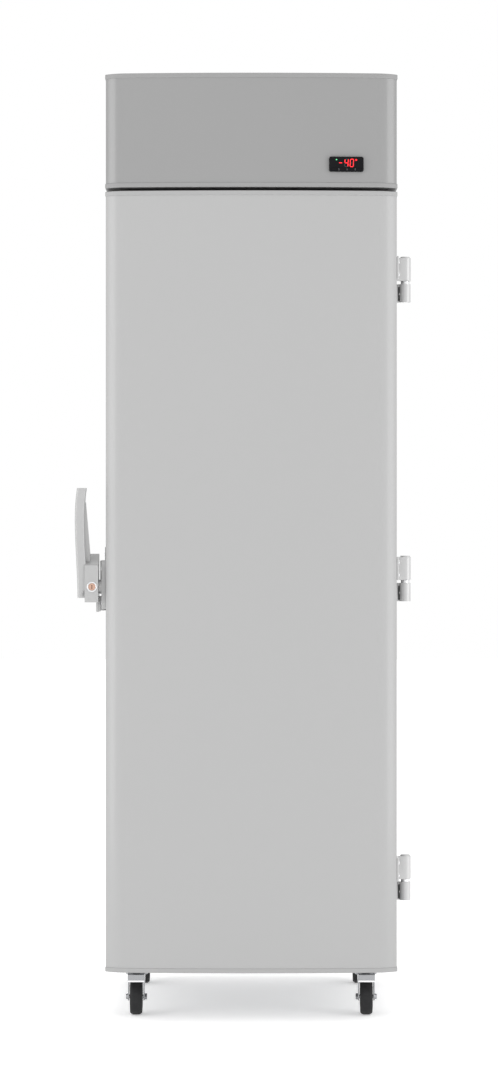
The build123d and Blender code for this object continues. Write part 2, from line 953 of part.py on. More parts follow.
pipe(
    [
        (suction_x, suction_y, deck),
        (suction_x, suction_y, compressor_top + suction_rise),
        (suction_x, compressor_y, compressor_top + suction_rise),
        (suction_x, compressor_y, compressor_top),
    ],
    "suction_pipe",
)
pipe(
    [
        (compressor_x, discharge_y, compressor_top),
        (compressor_x, discharge_y, compressor_top + discharge_rise),
        (riser_x, discharge_y, compressor_top + discharge_rise),
        (riser_x, coil_y, compressor_top + discharge_rise),
        (riser_x, coil_y, fan_z + coil_rise),
        (coil_end_x, coil_y, fan_z + coil_rise),
    ],
    "discharge_pipe",
)
pipe(
    [
        (coil_end_x, coil_y, fan_z - coil_rise),
        (riser_x, coil_y, fan_z - coil_rise),
        (riser_x, filter_y, fan_z - coil_rise),
        (riser_x, filter_y, filter_top + liquid_rise),
        (filter_x, filter_y, filter_top + liquid_rise),
        (filter_x, filter_y, filter_top),
    ],
    "liquid_line",
)

relay_offset = 84
relay_gap = 2
relay_corner = 5
relay_x = compressor_x + relay_offset
relay_half = 32
relay_height = 130
with BuildPart() as relay_box:
    box(
        relay_x,
        half_width - trim_rim - relay_gap,
        compressor_y - relay_half,
        compressor_y + relay_half,
        deck,
        deck + relay_height,
    )
    fillet(relay_box.edges().filter_by(Axis.Z), relay_corner)
save(relay_box, "relay_box")

# Controller in the head: housing, glossy bezel with a window, red digits, lamp and four keys
window_depth = 0.8
window_width = 50
window_height = 19
window_rise = 2.6
key_count = 4
key_width = 12.5
key_height = 5.2
key_pitch = 16.6
key_drop = 10.9
key_gap = 0.3
key_travel = 0.6
key_depth = 1.6
keys_left = -25.4
digit_height = 18
digit_width = 10
segment = 2.2
segment_gap = 0.35
segment_trim = 0.5
digit_slant = 3.4
digit_thickness = 0.4
digits_x = 11.2
digits_gap = 1
minus_offset = 1.2
degree_size = 2.6
degree_gap = 4
degree_drop = 2
lamp_x = -20.3
lamp_width = 3.4
lamp_height = 2.6
lamp_drop = 3.2
bezel_chamfer = 0.8
terminal_depth = 8
terminal_margin = 4

with BuildPart() as controller_housing:
    with BuildSketch(controller_plane(0)) as housing_profile:
        Rectangle(case_width, case_height)
    extrude(housing_profile.sketch, amount=-case_depth)
    with BuildSketch(controller_plane(-case_depth)) as terminals:
        Rectangle(case_width - 2 * terminal_margin, terminal_depth)
    extrude(terminals.sketch, amount=-terminal_depth)
save(controller_housing, "controller_housing")

with BuildPart() as controller_bezel:
    with BuildSketch(controller_plane(0)) as bezel_profile:
        RectangleRounded(bezel_width, bezel_height, bezel_corner)
    extrude(bezel_profile.sketch, amount=bezel_thickness)
    chamfer(
        controller_bezel.faces().sort_by(Axis.Y)[0].outer_wire().edges(),
        bezel_chamfer,
    )
    with BuildSketch(controller_plane(bezel_thickness)) as window:
        with Locations((0, window_rise)):
            Rectangle(window_width, window_height)
    extrude(window.sketch, amount=-window_depth, mode=Mode.SUBTRACT)
    with BuildSketch(controller_plane(bezel_thickness)) as key_pockets:
        for key in range(key_count):
            with Locations((keys_left + key * key_pitch, -key_drop)):
                Rectangle(key_width + 2 * key_gap, key_height + 2 * key_gap)
    extrude(key_pockets.sketch, amount=-key_depth - key_travel - key_gap, mode=Mode.SUBTRACT)
save(controller_bezel, "controller_bezel")

for key in range(key_count):
    with BuildPart() as key_cap:
        with BuildSketch(controller_plane(bezel_thickness)) as key_profile:
            with Locations((keys_left + key * key_pitch, -key_drop)):
                Rectangle(key_width, key_height)
        extrude(key_profile.sketch, amount=-key_depth)
    save(key_cap, f"controller_key_{key + 1}")

# Segments a to g of a digit: centre, length and whether it stands upright
stroke = digit_height / 2 - segment / 2
segment_places = {
    "a": (0, 2 * stroke, False),
    "b": (1, 1.5 * stroke, True),
    "c": (1, 0.5 * stroke, True),
    "d": (0, 0, False),
    "e": (-1, 0.5 * stroke, True),
    "f": (-1, 1.5 * stroke, True),
    "g": (0, stroke, False),
}


def digit(centre_x, lit):
    """The lit segments of one digit, in the sketch that is being drawn."""
    for name in lit:
        side, rise, upright = segment_places[name]
        across = side * (digit_width - segment) / 2
        lean = (rise - stroke) * math.tan(math.radians(digit_slant))
        length = stroke - segment_gap if upright else digit_width - segment - segment_gap
        turn = 90 - digit_slant if upright else 0
        with Locations((centre_x + across + lean, window_rise + rise - stroke)):
            SlotOverall(length, segment - segment_trim, rotation=turn)


with BuildPart() as display_digits:
    with BuildSketch(controller_plane(bezel_thickness - window_depth)) as lit_segments:
        digit(digits_x - 2 * (digit_width + digits_gap) - minus_offset, "g")
        digit(digits_x - (digit_width + digits_gap), "fgbc")
        digit(digits_x, "abcdef")
        with Locations(
            (digits_x + digit_width / 2 + degree_gap, window_rise + digit_height / 2 - degree_drop)
        ):
            Rectangle(degree_size, degree_size)
    extrude(lit_segments.sketch, amount=digit_thickness)
save(display_digits, "display_digits")

with BuildPart() as status_lamp:
    with BuildSketch(controller_plane(bezel_thickness - window_depth)) as lamp:
        with Locations((lamp_x, window_rise + digit_height / 2 - lamp_drop)):
            Rectangle(lamp_width, lamp_height)
    extrude(lamp.sketch, amount=digit_thickness)
save(status_lamp, "status_lamp")

# Three lift-off hinges on the right: door halves above, cabinet halves below
hinge_count = 3
hinge_spacing = 620
hinge_offset = 19.5
hinge_radius = 12
hinge_lower_radius = 11.5
hinge_gap = 6
door_knuckle = 48
cabinet_knuckle = 38
leaf_thickness = 4
leaf_gap = 0.4
web_thickness = 5
pin_radius = 4
pin_clearance = 0.06
washer_radius = 9
cap_height = 2.5
door_leaf_front = 30
cabinet_leaf_back = 150
wing_depth = 6
screw_radius = 4.6
screw_height = 2
leaf_setback = 2
cap_inset = 2
bore_end = 10
pin_end = 14
washer_gap = 0.3
leaf_screw_inset = 14
leaf_screw_pitch = 26
cabinet_screw_inset = 18
cabinet_screw_pitch = 20

hinge_x = half_width + hinge_offset
hinge_y = front_y + door_thickness
hinge_middle = (door_bottom + door_top) / 2
hinge_levels = [
    hinge_middle + (place - (hinge_count - 1) / 2) * hinge_spacing for place in range(hinge_count)
]


def rod(x, y, radius, z0, z1, mode=Mode.ADD):
    """Upright cylinder in the part that is being built."""
    with BuildSketch(Plane.XY.offset(z0)) as disc:
        with Locations((x, y)):
            Circle(radius)
    extrude(disc.sketch, amount=z1 - z0, mode=mode)


with BuildPart() as hinge_door_halves:
    for level in hinge_levels:
        low = level + hinge_gap / 2
        high = low + door_knuckle
        box(
            half_width,
            half_width + leaf_thickness,
            front_y + door_leaf_front,
            hinge_y - leaf_setback,
            low,
            high,
        )
        box(
            half_width,
            hinge_x,
            hinge_y - hinge_radius,
            hinge_y - hinge_radius + web_thickness,
            low,
            high,
        )
        rod(hinge_x, hinge_y, hinge_radius, low, high)
        rod(hinge_x, hinge_y, hinge_radius - cap_inset, high, high + cap_height)
        rod(hinge_x, hinge_y, pin_radius + pin_clearance, low, high - bore_end, mode=Mode.SUBTRACT)
save(hinge_door_halves, "hinge_door_halves")

with BuildPart() as hinge_cabinet_halves:
    for level in hinge_levels:
        high = level - hinge_gap / 2
        low = high - cabinet_knuckle
        box(
            half_width,
            half_width + leaf_thickness,
            case_front_y + leaf_setback,
            front_y + cabinet_leaf_back,
            low,
            high,
        )
        box(
            half_width + leaf_gap,
            hinge_x,
            hinge_y,
            hinge_y + wing_depth,
            low,
            high,
        )
        box(
            half_width + leaf_gap,
            half_width + leaf_thickness,
            hinge_y,
            case_front_y + 2 * leaf_setback,
            low,
            high,
        )
        rod(hinge_x, hinge_y, hinge_lower_radius, low, high)
        rod(hinge_x, hinge_y, pin_radius + pin_clearance, low, high, mode=Mode.SUBTRACT)
save(hinge_cabinet_halves, "hinge_cabinet_halves")

with BuildPart() as hinge_pins:
    for level in hinge_levels:
        high = level - hinge_gap / 2
        rod(hinge_x, hinge_y, pin_radius, high - cabinet_knuckle, high + door_knuckle - pin_end)
        rod(hinge_x, hinge_y, washer_radius, high, high + hinge_gap - washer_gap)
save(hinge_pins, "hinge_pins")

with BuildPart() as cabinet_screws:
    for level in hinge_levels:
        middle = level - hinge_gap / 2 - cabinet_knuckle / 2
        with BuildSketch(Plane.YZ.offset(half_width + leaf_thickness)) as heads:
            with Locations((front_y + cabinet_leaf_back - cabinet_screw_inset, middle)):
                with GridLocations(cabinet_screw_inset, cabinet_screw_pitch, 2, 2):
                    Circle(screw_radius)
        extrude(heads.sketch, amount=screw_height)
save(cabinet_screws, "cabinet_screws")

# Latch on the left: base plate on the door, lever casting with a lock, keeper on the cabinet
latch_drop = 10.5
latch_z = (door_bottom + door_top) / 2 - latch_drop
latch_y = front_y + 48
base_front = 34
base_back = 78
base_low = -46
base_high = 55
base_corner = 8
base_thickness = 9
boss_radius = 14.5
block_gap = 15
block_width = 28
block_back = 74
block_front = 20
block_high = 68
block_low = -32
block_nose_low = -20
block_nose_high = 44
block_edge = 2
block_heel = 8
cut_level = -23
cut_depth = 12
cut_inner = 5
cut_outer = 14
grip_gap = 40
grip_width = 20
grip_high = 203
grip_corner = 5
blade_joint = 2
flank_width = 6
journal_radius = 8
journal_depth = 3.6
journal_clearance = 0.08
axial_gap = 0.3
lock_offset = 27.7
lock_x = -half_width - lock_offset
lock_radius = 7.3
lock_ring_radius = 10.5
lock_clearance = 0.3
ring_height = 2
ring_seat = 14
keyhole_width = 1.6
keyhole_length = 8
keyhole_depth = 16
tongue_width = 7
tongue_length = 17.5
tongue_front = 76
tongue_thickness = 3
arm_outer = 12.8
arm_thickness = 2.3
arm_front = 67
arm_low = -15
arm_high = 54
window_low = -11.5
window_high = 9
window_margin = 2
plate_back = 146
plate_low = -39
plate_high = 82
keeper_thickness = 5
keeper_setback = 9
return_thickness = 6
keeper_screw_inset = 16
pad_front = 87.3
pad_width = 20
pad_low = -50
pad_high = -20
heel_front = 40
heel_back = 56
heel_low = -52
heel_top = -6
heel_finger_top = -31
heel_corner = 4
heel_plate = 5
heel_finger_gap = 11.4
heel_finger_width = 8
base_screw_offset = 6
base_screw_rises = (-32, 36)

left_x = -half_width
block_inner_x = left_x - block_gap
block_outer_x = block_inner_x - block_width


def side_profile(x, points):
    """Closed outline on the plane at x, from depths behind the door and heights over the pivot."""
    with BuildSketch(Plane.YZ.offset(x)) as outline:
        with BuildLine():
            Polyline(*[(front_y + back, latch_z + rise) for back, rise in points], close=True)
        make_face()
    return outline.sketch


with BuildPart() as latch_base:
    with BuildSketch(Plane.YZ.offset(left_x)) as base_outline:
        with Locations((front_y + (base_front + base_back) / 2, latch_z + (base_low + base_high) / 2)):
            RectangleRounded(base_back - base_front, base_high - base_low, base_corner)
    extrude(base_outline.sketch, amount=-base_thickness)
    with BuildSketch(Plane.YZ.offset(left_x - base_thickness)) as boss:
        with Locations((latch_y, latch_z)):
            Circle(boss_radius)
    extrude(boss.sketch, amount=-(block_gap - base_thickness - axial_gap))
    with BuildSketch(Plane.YZ.offset(block_inner_x + axial_gap)) as journal:
        with Locations((latch_y, latch_z)):
            Circle(journal_radius)
    extrude(journal.sketch, amount=-journal_depth)
save(latch_base, "latch_base")

block_profile = [
    (block_front, block_nose_low),
    (block_front, block_nose_high),
    (block_front + block_edge, block_nose_high + block_edge),
    (block_back - block_edge, block_high),
    (block_back, block_high - block_edge),
    (block_back, block_low + block_heel),
    (block_back - block_heel, block_low),
    (block_front + block_heel, block_low),
]
heel_profile = [
    (heel_front, heel_top),
    (heel_front, heel_low + heel_corner),
    (heel_front + heel_corner, heel_low),
    (heel_back - heel_corner, heel_low),
    (heel_back, heel_low + heel_corner),
    (heel_back, heel_top),
]
finger_profile = [
    (heel_front + 1, heel_finger_top),
    (heel_front + 1, heel_low + heel_corner),
    (heel_front + heel_corner, heel_low + 1),
    (heel_back - heel_corner, heel_low + 1),
    (heel_back - 1, heel_low + heel_corner),
    (heel_back - 1, heel_finger_top),
]
grip_inner_x = left_x - grip_gap
# Grip and flank stations: height over the pivot, front and back depth, sideways bow or reach
grip_sections = [
    (cut_level, 24, 62, 0),
    (64, 21, 56, 3),
    (134, 15, 44, 5),
    (179, 9, 33, 3),
    (grip_high, 6, 26, 0),
]
flank_sections = [(cut_level, 40, 62, 9), (64, 36, 56, 6), (174, 22, 33, -2)]
with BuildPart() as latch_lever:
    extrude(side_profile(block_inner_x, block_profile), amount=-block_width)
    with BuildSketch(Plane.XZ.offset(-front_y)) as corner_cut:
        with Locations((0, latch_z)):
            with BuildLine():
                Polyline(
                    (block_inner_x + 1, 2 * cut_level),
                    (block_outer_x - 1, 2 * cut_level),
                    (block_outer_x - 1, cut_level),
                    (block_outer_x + cut_outer, cut_level),
                    (block_inner_x - cut_inner, cut_level - cut_depth),
                    (block_inner_x + 1, cut_level - cut_depth),
                    close=True,
                )
            make_face()
    extrude(corner_cut.sketch, amount=-depth / 2, mode=Mode.SUBTRACT)
    extrude(side_profile(block_inner_x, heel_profile), amount=-heel_plate)
    extrude(side_profile(left_x - heel_finger_gap, finger_profile), amount=-heel_finger_width)
    grip_faces = []
    for rise, front, back, bow_out in grip_sections:
        with BuildSketch(Plane.XY.offset(latch_z + rise)) as grip_section:
            grip_x = grip_inner_x - grip_width / 2 - bow_out + blade_joint
            with Locations((grip_x, front_y + (front + back) / 2)):
                RectangleRounded(grip_width, back - front, grip_corner)
        grip_faces.append(grip_section.sketch)
    loft(sections=grip_faces)
    flank_faces = []
    for rise, front, back, reach in flank_sections:
        with BuildSketch(Plane.XY.offset(latch_z + rise)) as flank_section:
            with Locations((grip_inner_x + (reach - flank_width) / 2, front_y + (front + back) / 2)):
                Rectangle(2 * flank_width + reach - flank_width / 2, back - front)
        flank_faces.append(flank_section.sketch)
    loft(sections=flank_faces, ruled=True)
    with BuildSketch(Plane.YZ.offset(block_inner_x)) as journal_bore:
        with Locations((latch_y, latch_z)):
            Circle(journal_radius + journal_clearance)
    extrude(journal_bore.sketch, amount=-journal_depth, mode=Mode.SUBTRACT)
    for radius, reach in ((lock_ring_radius, block_front + ring_seat),
                          (lock_radius + lock_clearance, 2 * block_back)):
        with BuildSketch(Plane.XZ.offset(-front_y)) as lock_bore:
            with Locations((lock_x, latch_z)):
                Circle(radius)
        extrude(lock_bore.sketch, amount=-reach, mode=Mode.SUBTRACT)
save(latch_lever, "latch_lever")

with BuildPart() as lock_ring:
    with BuildSketch(Plane.XZ.offset(-front_y - block_front + ring_height)) as ring_profile:
        with Locations((lock_x, latch_z)):
            Circle(lock_ring_radius)
            Circle(lock_radius + lock_clearance, mode=Mode.SUBTRACT)
    extrude(ring_profile.sketch, amount=-(ring_seat + ring_height))
save(lock_ring, "lock_ring")

with BuildPart() as lock_core:
    with BuildSketch(Plane.XZ.offset(-front_y - block_front + ring_height / 2)) as core_profile:
        with Locations((lock_x, latch_z)):
            Circle(lock_radius)
    extrude(core_profile.sketch, amount=-(tongue_front - block_front + ring_height / 2))
    with BuildSketch(Plane.XZ.offset(-front_y - block_front + ring_height / 2)) as keyhole:
        with Locations((lock_x, latch_z)):
            Rectangle(keyhole_width, keyhole_length)
    extrude(keyhole.sketch, amount=-keyhole_depth, mode=Mode.SUBTRACT)
    with BuildSketch(Plane.XZ.offset(-front_y - tongue_front)) as tongue:
        with Locations((lock_x, latch_z - tongue_length / 2 + tongue_width / 4)):
            Rectangle(tongue_width, tongue_length + tongue_width / 2)
    extrude(tongue.sketch, amount=-tongue_thickness)
save(lock_core, "lock_core")

with BuildPart() as latch_keeper:
    keeper_front = case_front_y - front_y + keeper_setback
    box(
        left_x - keeper_thickness,
        left_x,
        front_y + keeper_front,
        front_y + plate_back,
        latch_z + plate_low,
        latch_z + plate_high,
    )
    box(
        left_x - arm_outer,
        left_x - arm_outer + arm_thickness,
        front_y + arm_front,
        front_y + keeper_front + return_thickness,
        latch_z + arm_low,
        latch_z + arm_high,
    )
    box(
        left_x - arm_outer,
        left_x,
        front_y + keeper_front,
        front_y + keeper_front + return_thickness,
        latch_z + arm_low,
        latch_z + arm_high,
    )
    box(
        left_x - arm_outer - 1,
        left_x - arm_outer + arm_thickness + 1,
        front_y + tongue_front - window_margin,
        front_y + tongue_front + tongue_thickness + window_margin,
        latch_z + window_low,
        latch_z + window_high,
        mode=Mode.SUBTRACT,
    )
    box(
        left_x - pad_width,
        left_x - keeper_thickness,
        front_y + pad_front,
        front_y + keeper_front + return_thickness,
        latch_z + pad_low,
        latch_z + pad_high,
    )
    box(
        left_x - pad_width,
        left_x,
        front_y + keeper_front,
        front_y + keeper_front + return_thickness,
        latch_z + pad_low,
        latch_z + pad_high,
    )
save(latch_keeper, "latch_keeper")

with BuildPart() as keeper_screws:
    with BuildSketch(Plane.YZ.offset(left_x - keeper_thickness)) as keeper_heads:
        with Locations((front_y + plate_back - keeper_screw_inset, latch_z + (plate_low + plate_high) / 2)):
            with GridLocations(1, (plate_high - plate_low) / 2 - keeper_screw_inset, 1, 3):
                Circle(screw_radius)
    extrude(keeper_heads.sketch, amount=-screw_height)
save(keeper_screws, "keeper_screws")

with BuildPart() as door_screws:
    with BuildSketch(Plane.YZ.offset(left_x - base_thickness)) as base_heads:
        with Locations((latch_y + base_screw_offset, latch_z)):
            for rise in base_screw_rises:
                with Locations((0, rise)):
                    Circle(screw_radius)
    extrude(base_heads.sketch, amount=-screw_height)
    for level in hinge_levels:
        middle = level + hinge_gap / 2 + door_knuckle / 2
        with BuildSketch(Plane.YZ.offset(half_width + leaf_thickness)) as leaf_heads:
            with Locations((front_y + door_leaf_front + leaf_screw_inset, middle)):
                with GridLocations(1, leaf_screw_pitch, 1, 2):
                    Circle(screw_radius)
        extrude(leaf_heads.sketch, amount=screw_height)
save(door_screws, "door_screws")

# Swivel casters: fixed plates with their king pins, forks with axle bolts, and wheels
wheel_radius = 37.5
wheel_width = 25
wheel_bore = 4.1
axle_radius = 4
axle_clearance = 0.1
caster_x = 240.6
caster_front_y = front_y + 155
caster_rear_y = rear_y - 90
caster_trail = 25
caster_plate = 3
caster_plate_side = 66
race_radius = 23
race_height = 5
swivel_gap = 0.4
crown_height = 5
leg_thickness = 2.5
leg_gap = 2.4
king_radius = 5
king_head = 8
king_head_height = 2.5
king_reach = 20
pan_hole = 4.2
hole_inset = 9
plate_corner = 6
crown_length = 50
crown_shift = 6
crown_corner = 8
leg_front = 31
leg_rear = 17
leg_waist = 9
leg_foot = 6
leg_rise = 4
leg_drop = 8
bolt_radius = 6.5
bolt_height = 4.5
bolt_taper = 18
nut_radius = 7
nut_height = 5
tread_chamfer = 5
tread_side = 3.4
recess_radius = 25
hub_radius = 11
recess_depth = 5

caster_places = {
    "front_left": (-caster_x, caster_front_y),
    "front_right": (caster_x, caster_front_y),
    "rear_left": (-caster_x, caster_rear_y),
    "rear_right": (caster_x, caster_rear_y),
}
plate_low_z = base_height - caster_plate
race_low_z = plate_low_z - race_height
crown_top_z = race_low_z - swivel_gap
crown_low_z = crown_top_z - crown_height
king_low_z = crown_low_z - swivel_gap

with BuildPart() as caster_plates:
    for place_x, place_y in caster_places.values():
        with BuildSketch(Plane.XY.offset(plate_low_z)) as plate_outline:
            with Locations((place_x, place_y)):
                RectangleRounded(caster_plate_side, caster_plate_side, plate_corner)
                hole_pitch = caster_plate_side - 2 * hole_inset
                with GridLocations(hole_pitch, hole_pitch, 2, 2):
                    Circle(pan_hole, mode=Mode.SUBTRACT)
        extrude(plate_outline.sketch, amount=caster_plate)
        rod(place_x, place_y, race_radius, race_low_z, plate_low_z)
        rod(place_x, place_y, king_radius, king_low_z - king_head_height, race_low_z)
        rod(place_x, place_y, king_head, king_low_z - king_head_height, king_low_z)
save(caster_plates, "caster_plates")

leg_inner = wheel_width / 2 + leg_gap
leg_outer = leg_inner + leg_thickness
for place, (place_x, place_y) in caster_places.items():
    axle_y = place_y - caster_trail
    with BuildPart() as fork:
        with BuildSketch(Plane.XY.offset(crown_low_z)) as crown:
            with Locations((place_x, place_y - crown_shift)):
                RectangleRounded(2 * leg_outer, crown_length, crown_corner)
            with Locations((place_x, place_y)):
                Circle(race_radius)
        extrude(crown.sketch, amount=crown_height)
        for side in (-1, 1):
            with BuildSketch(Plane.YZ.offset(place_x + side * leg_inner)) as leg:
                with BuildLine():
                    Polyline(
                        (place_y - leg_front, crown_top_z),
                        (place_y - leg_front, crown_low_z - leg_foot),
                        (axle_y - leg_waist, wheel_radius + leg_rise),
                        (axle_y - leg_foot, wheel_radius - leg_drop),
                        (axle_y + leg_foot, wheel_radius - leg_drop),
                        (axle_y + leg_waist, wheel_radius + leg_rise),
                        (place_y + leg_rear, crown_low_z - leg_rise),
                        (place_y + leg_rear, crown_top_z),
                        close=True,
                    )
                make_face()
            extrude(leg.sketch, amount=side * leg_thickness)
        rod(
            place_x,
            place_y,
            king_radius + swivel_gap,
            crown_low_z - king_reach,
            crown_top_z + 1,
            mode=Mode.SUBTRACT,
        )
        with BuildSketch(Plane.YZ.offset(place_x - leg_outer)) as axle:
            with Locations((axle_y, wheel_radius)):
                Circle(axle_radius)
        extrude(axle.sketch, amount=2 * leg_outer)
        outward = 1 if place_x > 0 else -1
        with BuildSketch(Plane.YZ.offset(place_x + outward * leg_outer)) as bolt_head:
            with Locations((axle_y, wheel_radius)):
                Circle(bolt_radius)
        extrude(bolt_head.sketch, amount=outward * bolt_height, taper=bolt_taper)
        with BuildSketch(Plane.YZ.offset(place_x - outward * leg_outer)) as nut:
            with Locations((axle_y, wheel_radius)):
                RegularPolygon(nut_radius, 6)
        extrude(nut.sketch, amount=-outward * nut_height)
    save(fork, f"caster_fork_{place}")

    with BuildPart() as wheel:
        with BuildSketch(Plane.YZ.offset(place_x - wheel_width / 2)) as tread:
            with Locations((axle_y, wheel_radius)):
                Circle(wheel_radius)
        extrude(tread.sketch, amount=wheel_width)
        chamfer(wheel.edges().filter_by(GeomType.CIRCLE), tread_chamfer, tread_side)
        with BuildSketch(Plane.YZ.offset(place_x - wheel_width / 2)) as hub_sides:
            with Locations((axle_y, wheel_radius)):
                Circle(recess_radius)
                Circle(hub_radius, mode=Mode.SUBTRACT)
        extrude(hub_sides.sketch, amount=recess_depth, mode=Mode.SUBTRACT)
        with BuildSketch(Plane.YZ.offset(place_x + wheel_width / 2)) as far_sides:
            with Locations((axle_y, wheel_radius)):
                Circle(recess_radius)
                Circle(hub_radius, mode=Mode.SUBTRACT)
        extrude(far_sides.sketch, amount=-recess_depth, mode=Mode.SUBTRACT)
        with BuildSketch(Plane.YZ.offset(place_x - wheel_width)) as bore:
            with Locations((axle_y, wheel_radius)):
                Circle(axle_radius + axle_clearance)
        extrude(bore.sketch, amount=2 * wheel_width, mode=Mode.SUBTRACT)
    save(wheel, f"caster_wheel_{place}")
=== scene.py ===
import bmesh
import bpy
import json
import math
from mathutils import Matrix, Vector


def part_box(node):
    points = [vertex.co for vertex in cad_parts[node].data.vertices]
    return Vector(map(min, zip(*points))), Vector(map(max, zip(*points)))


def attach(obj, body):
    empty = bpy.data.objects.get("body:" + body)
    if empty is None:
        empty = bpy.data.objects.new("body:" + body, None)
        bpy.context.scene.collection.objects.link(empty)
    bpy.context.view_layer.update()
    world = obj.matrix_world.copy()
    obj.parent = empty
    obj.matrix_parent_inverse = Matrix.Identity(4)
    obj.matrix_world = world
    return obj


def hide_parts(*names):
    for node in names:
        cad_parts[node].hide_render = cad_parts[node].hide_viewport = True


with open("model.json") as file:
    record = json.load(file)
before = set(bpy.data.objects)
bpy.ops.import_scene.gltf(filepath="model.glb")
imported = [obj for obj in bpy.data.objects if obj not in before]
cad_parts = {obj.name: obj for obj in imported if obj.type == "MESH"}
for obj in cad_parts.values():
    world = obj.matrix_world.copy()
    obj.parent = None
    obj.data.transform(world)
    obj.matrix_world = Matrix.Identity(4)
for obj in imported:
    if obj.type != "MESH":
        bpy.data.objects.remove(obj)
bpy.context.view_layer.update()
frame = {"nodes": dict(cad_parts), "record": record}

# camera and studio, fitted to the photograph's 498 x 1080 frame
cameraSetup = {
    "distance": 6.422, "height": 0.9697, "sensor": 24.0, "focalPixels": 2963.0,
    "imageWidth": 498.0, "imageHeight": 1080.0, "centreX": 251.3, "horizonY": 551.0, "clipEnd": 100,
}
studio = {
    "worldStrength": 1.0, "white": (1, 1, 1, 1), "floorSize": 40.0,
    "floorColor": (0.92, 0.92, 0.92, 1), "floorRoughness": 0.9, "floorGlow": 0.35,
}
lamps = {  # place, target, size and power
    "frontKey": ((-1.2, -5.5, 2.6), (0, 0, 1.0), (3.5, 3.0), 6.0),
    "leftStrip": ((-3.4, -2.2, 1.3), (-0.2, -0.2, 1.0), (1.6, 3.2), 42.0),
    "rightStrip": ((3.4, -2.2, 1.3), (0.2, -0.2, 1.0), (1.6, 3.2), 42.0),
    "topSoft": ((0, 0.2, 4.2), (0, 0, 1.0), (3.0, 3.0), 6.0),
}


def makeCamera():
    wide, tall = cameraSetup["imageWidth"], cameraSetup["imageHeight"]
    data = bpy.data.cameras.new("photoCamera")
    data.sensor_fit = "VERTICAL"
    data.sensor_height = cameraSetup["sensor"]
    data.lens = cameraSetup["focalPixels"] / tall * cameraSetup["sensor"]
    data.shift_x = (wide / 2 - cameraSetup["centreX"]) / tall
    data.shift_y = (cameraSetup["horizonY"] - tall / 2) / tall
    data.clip_end = cameraSetup["clipEnd"]
    camera = bpy.data.objects.new("photoCamera", data)
    camera.location = (0, -cameraSetup["distance"], cameraSetup["height"])
    camera.rotation_euler = (math.radians(90), 0, 0)  # level, facing the door
    bpy.context.collection.objects.link(camera)
    bpy.context.scene.camera = camera


def areaLight(name, place, target, size, power):
    data = bpy.data.lights.new(name, "AREA")
    data.shape = "RECTANGLE"
    data.size, data.size_y = size
    data.energy = power
    light = bpy.data.objects.new(name, data)
    light.location = place
    light.rotation_euler = (Vector(target) - Vector(place)).to_track_quat("-Z", "Y").to_euler()
    bpy.context.collection.objects.link(light)


def makeFloor():
    bpy.ops.mesh.primitive_plane_add(size=studio["floorSize"])
    floor = bpy.context.object
    floor.name = "studioFloor"
    paint = bpy.data.materials.new("studioFloorPaint")
    paint.use_nodes = True
    skin = paint.node_tree.nodes["Principled BSDF"]
    skin.inputs["Base Color"].default_value = studio["floorColor"]
    skin.inputs["Roughness"].default_value = studio["floorRoughness"]
    skin.inputs["Emission Color"].default_value = studio["white"]
    skin.inputs["Emission Strength"].default_value = studio["floorGlow"]
    floor.data.materials.append(paint)


def makeStudio():
    scene = bpy.context.scene
    scene.view_settings.view_transform = "Standard"
    world = bpy.data.worlds.new("paleRoom")
    world.use_nodes = True
    back = world.node_tree.nodes["Background"]
    back.inputs["Color"].default_value = studio["white"]
    back.inputs["Strength"].default_value = studio["worldStrength"]
    scene.world = world
    makeFloor()
    for name, (place, target, size, power) in lamps.items():
        areaLight(name, place, target, size, power)


makeCamera()
makeStudio()
print("camera and studio set")


# node groups shared by the finishes
def newGroup(name, inputs, outputs):
    group = bpy.data.node_groups.new(name, "ShaderNodeTree")
    for label, kind, value in inputs:
        socket = group.interface.new_socket(name=label, in_out="INPUT", socket_type=kind)
        socket.default_value = value
    for label, kind in outputs:
        group.interface.new_socket(name=label, in_out="OUTPUT", socket_type=kind)
    entry = group.nodes.new("NodeGroupInput")
    leave = group.nodes.new("NodeGroupOutput")
    return group, entry, leave


def addMath(group, operation, first, second, clamp=False):
    node = group.nodes.new("ShaderNodeMath")
    node.operation = operation
    node.use_clamp = clamp
    for socket, value in zip(node.inputs, (first, second)):
        if isinstance(value, (int, float)):
            socket.default_value = value
        else:
            group.links.new(value, socket)
    return node.outputs[0]


# fine grain and a slow drift, mixed and counted from the noise's middle value
grain = {
    "fineDetail": 3, "fineShare": 0.35,
    "driftScale": 2.3, "driftDetail": 4, "driftShare": 0.65, "middle": 0.5,
}


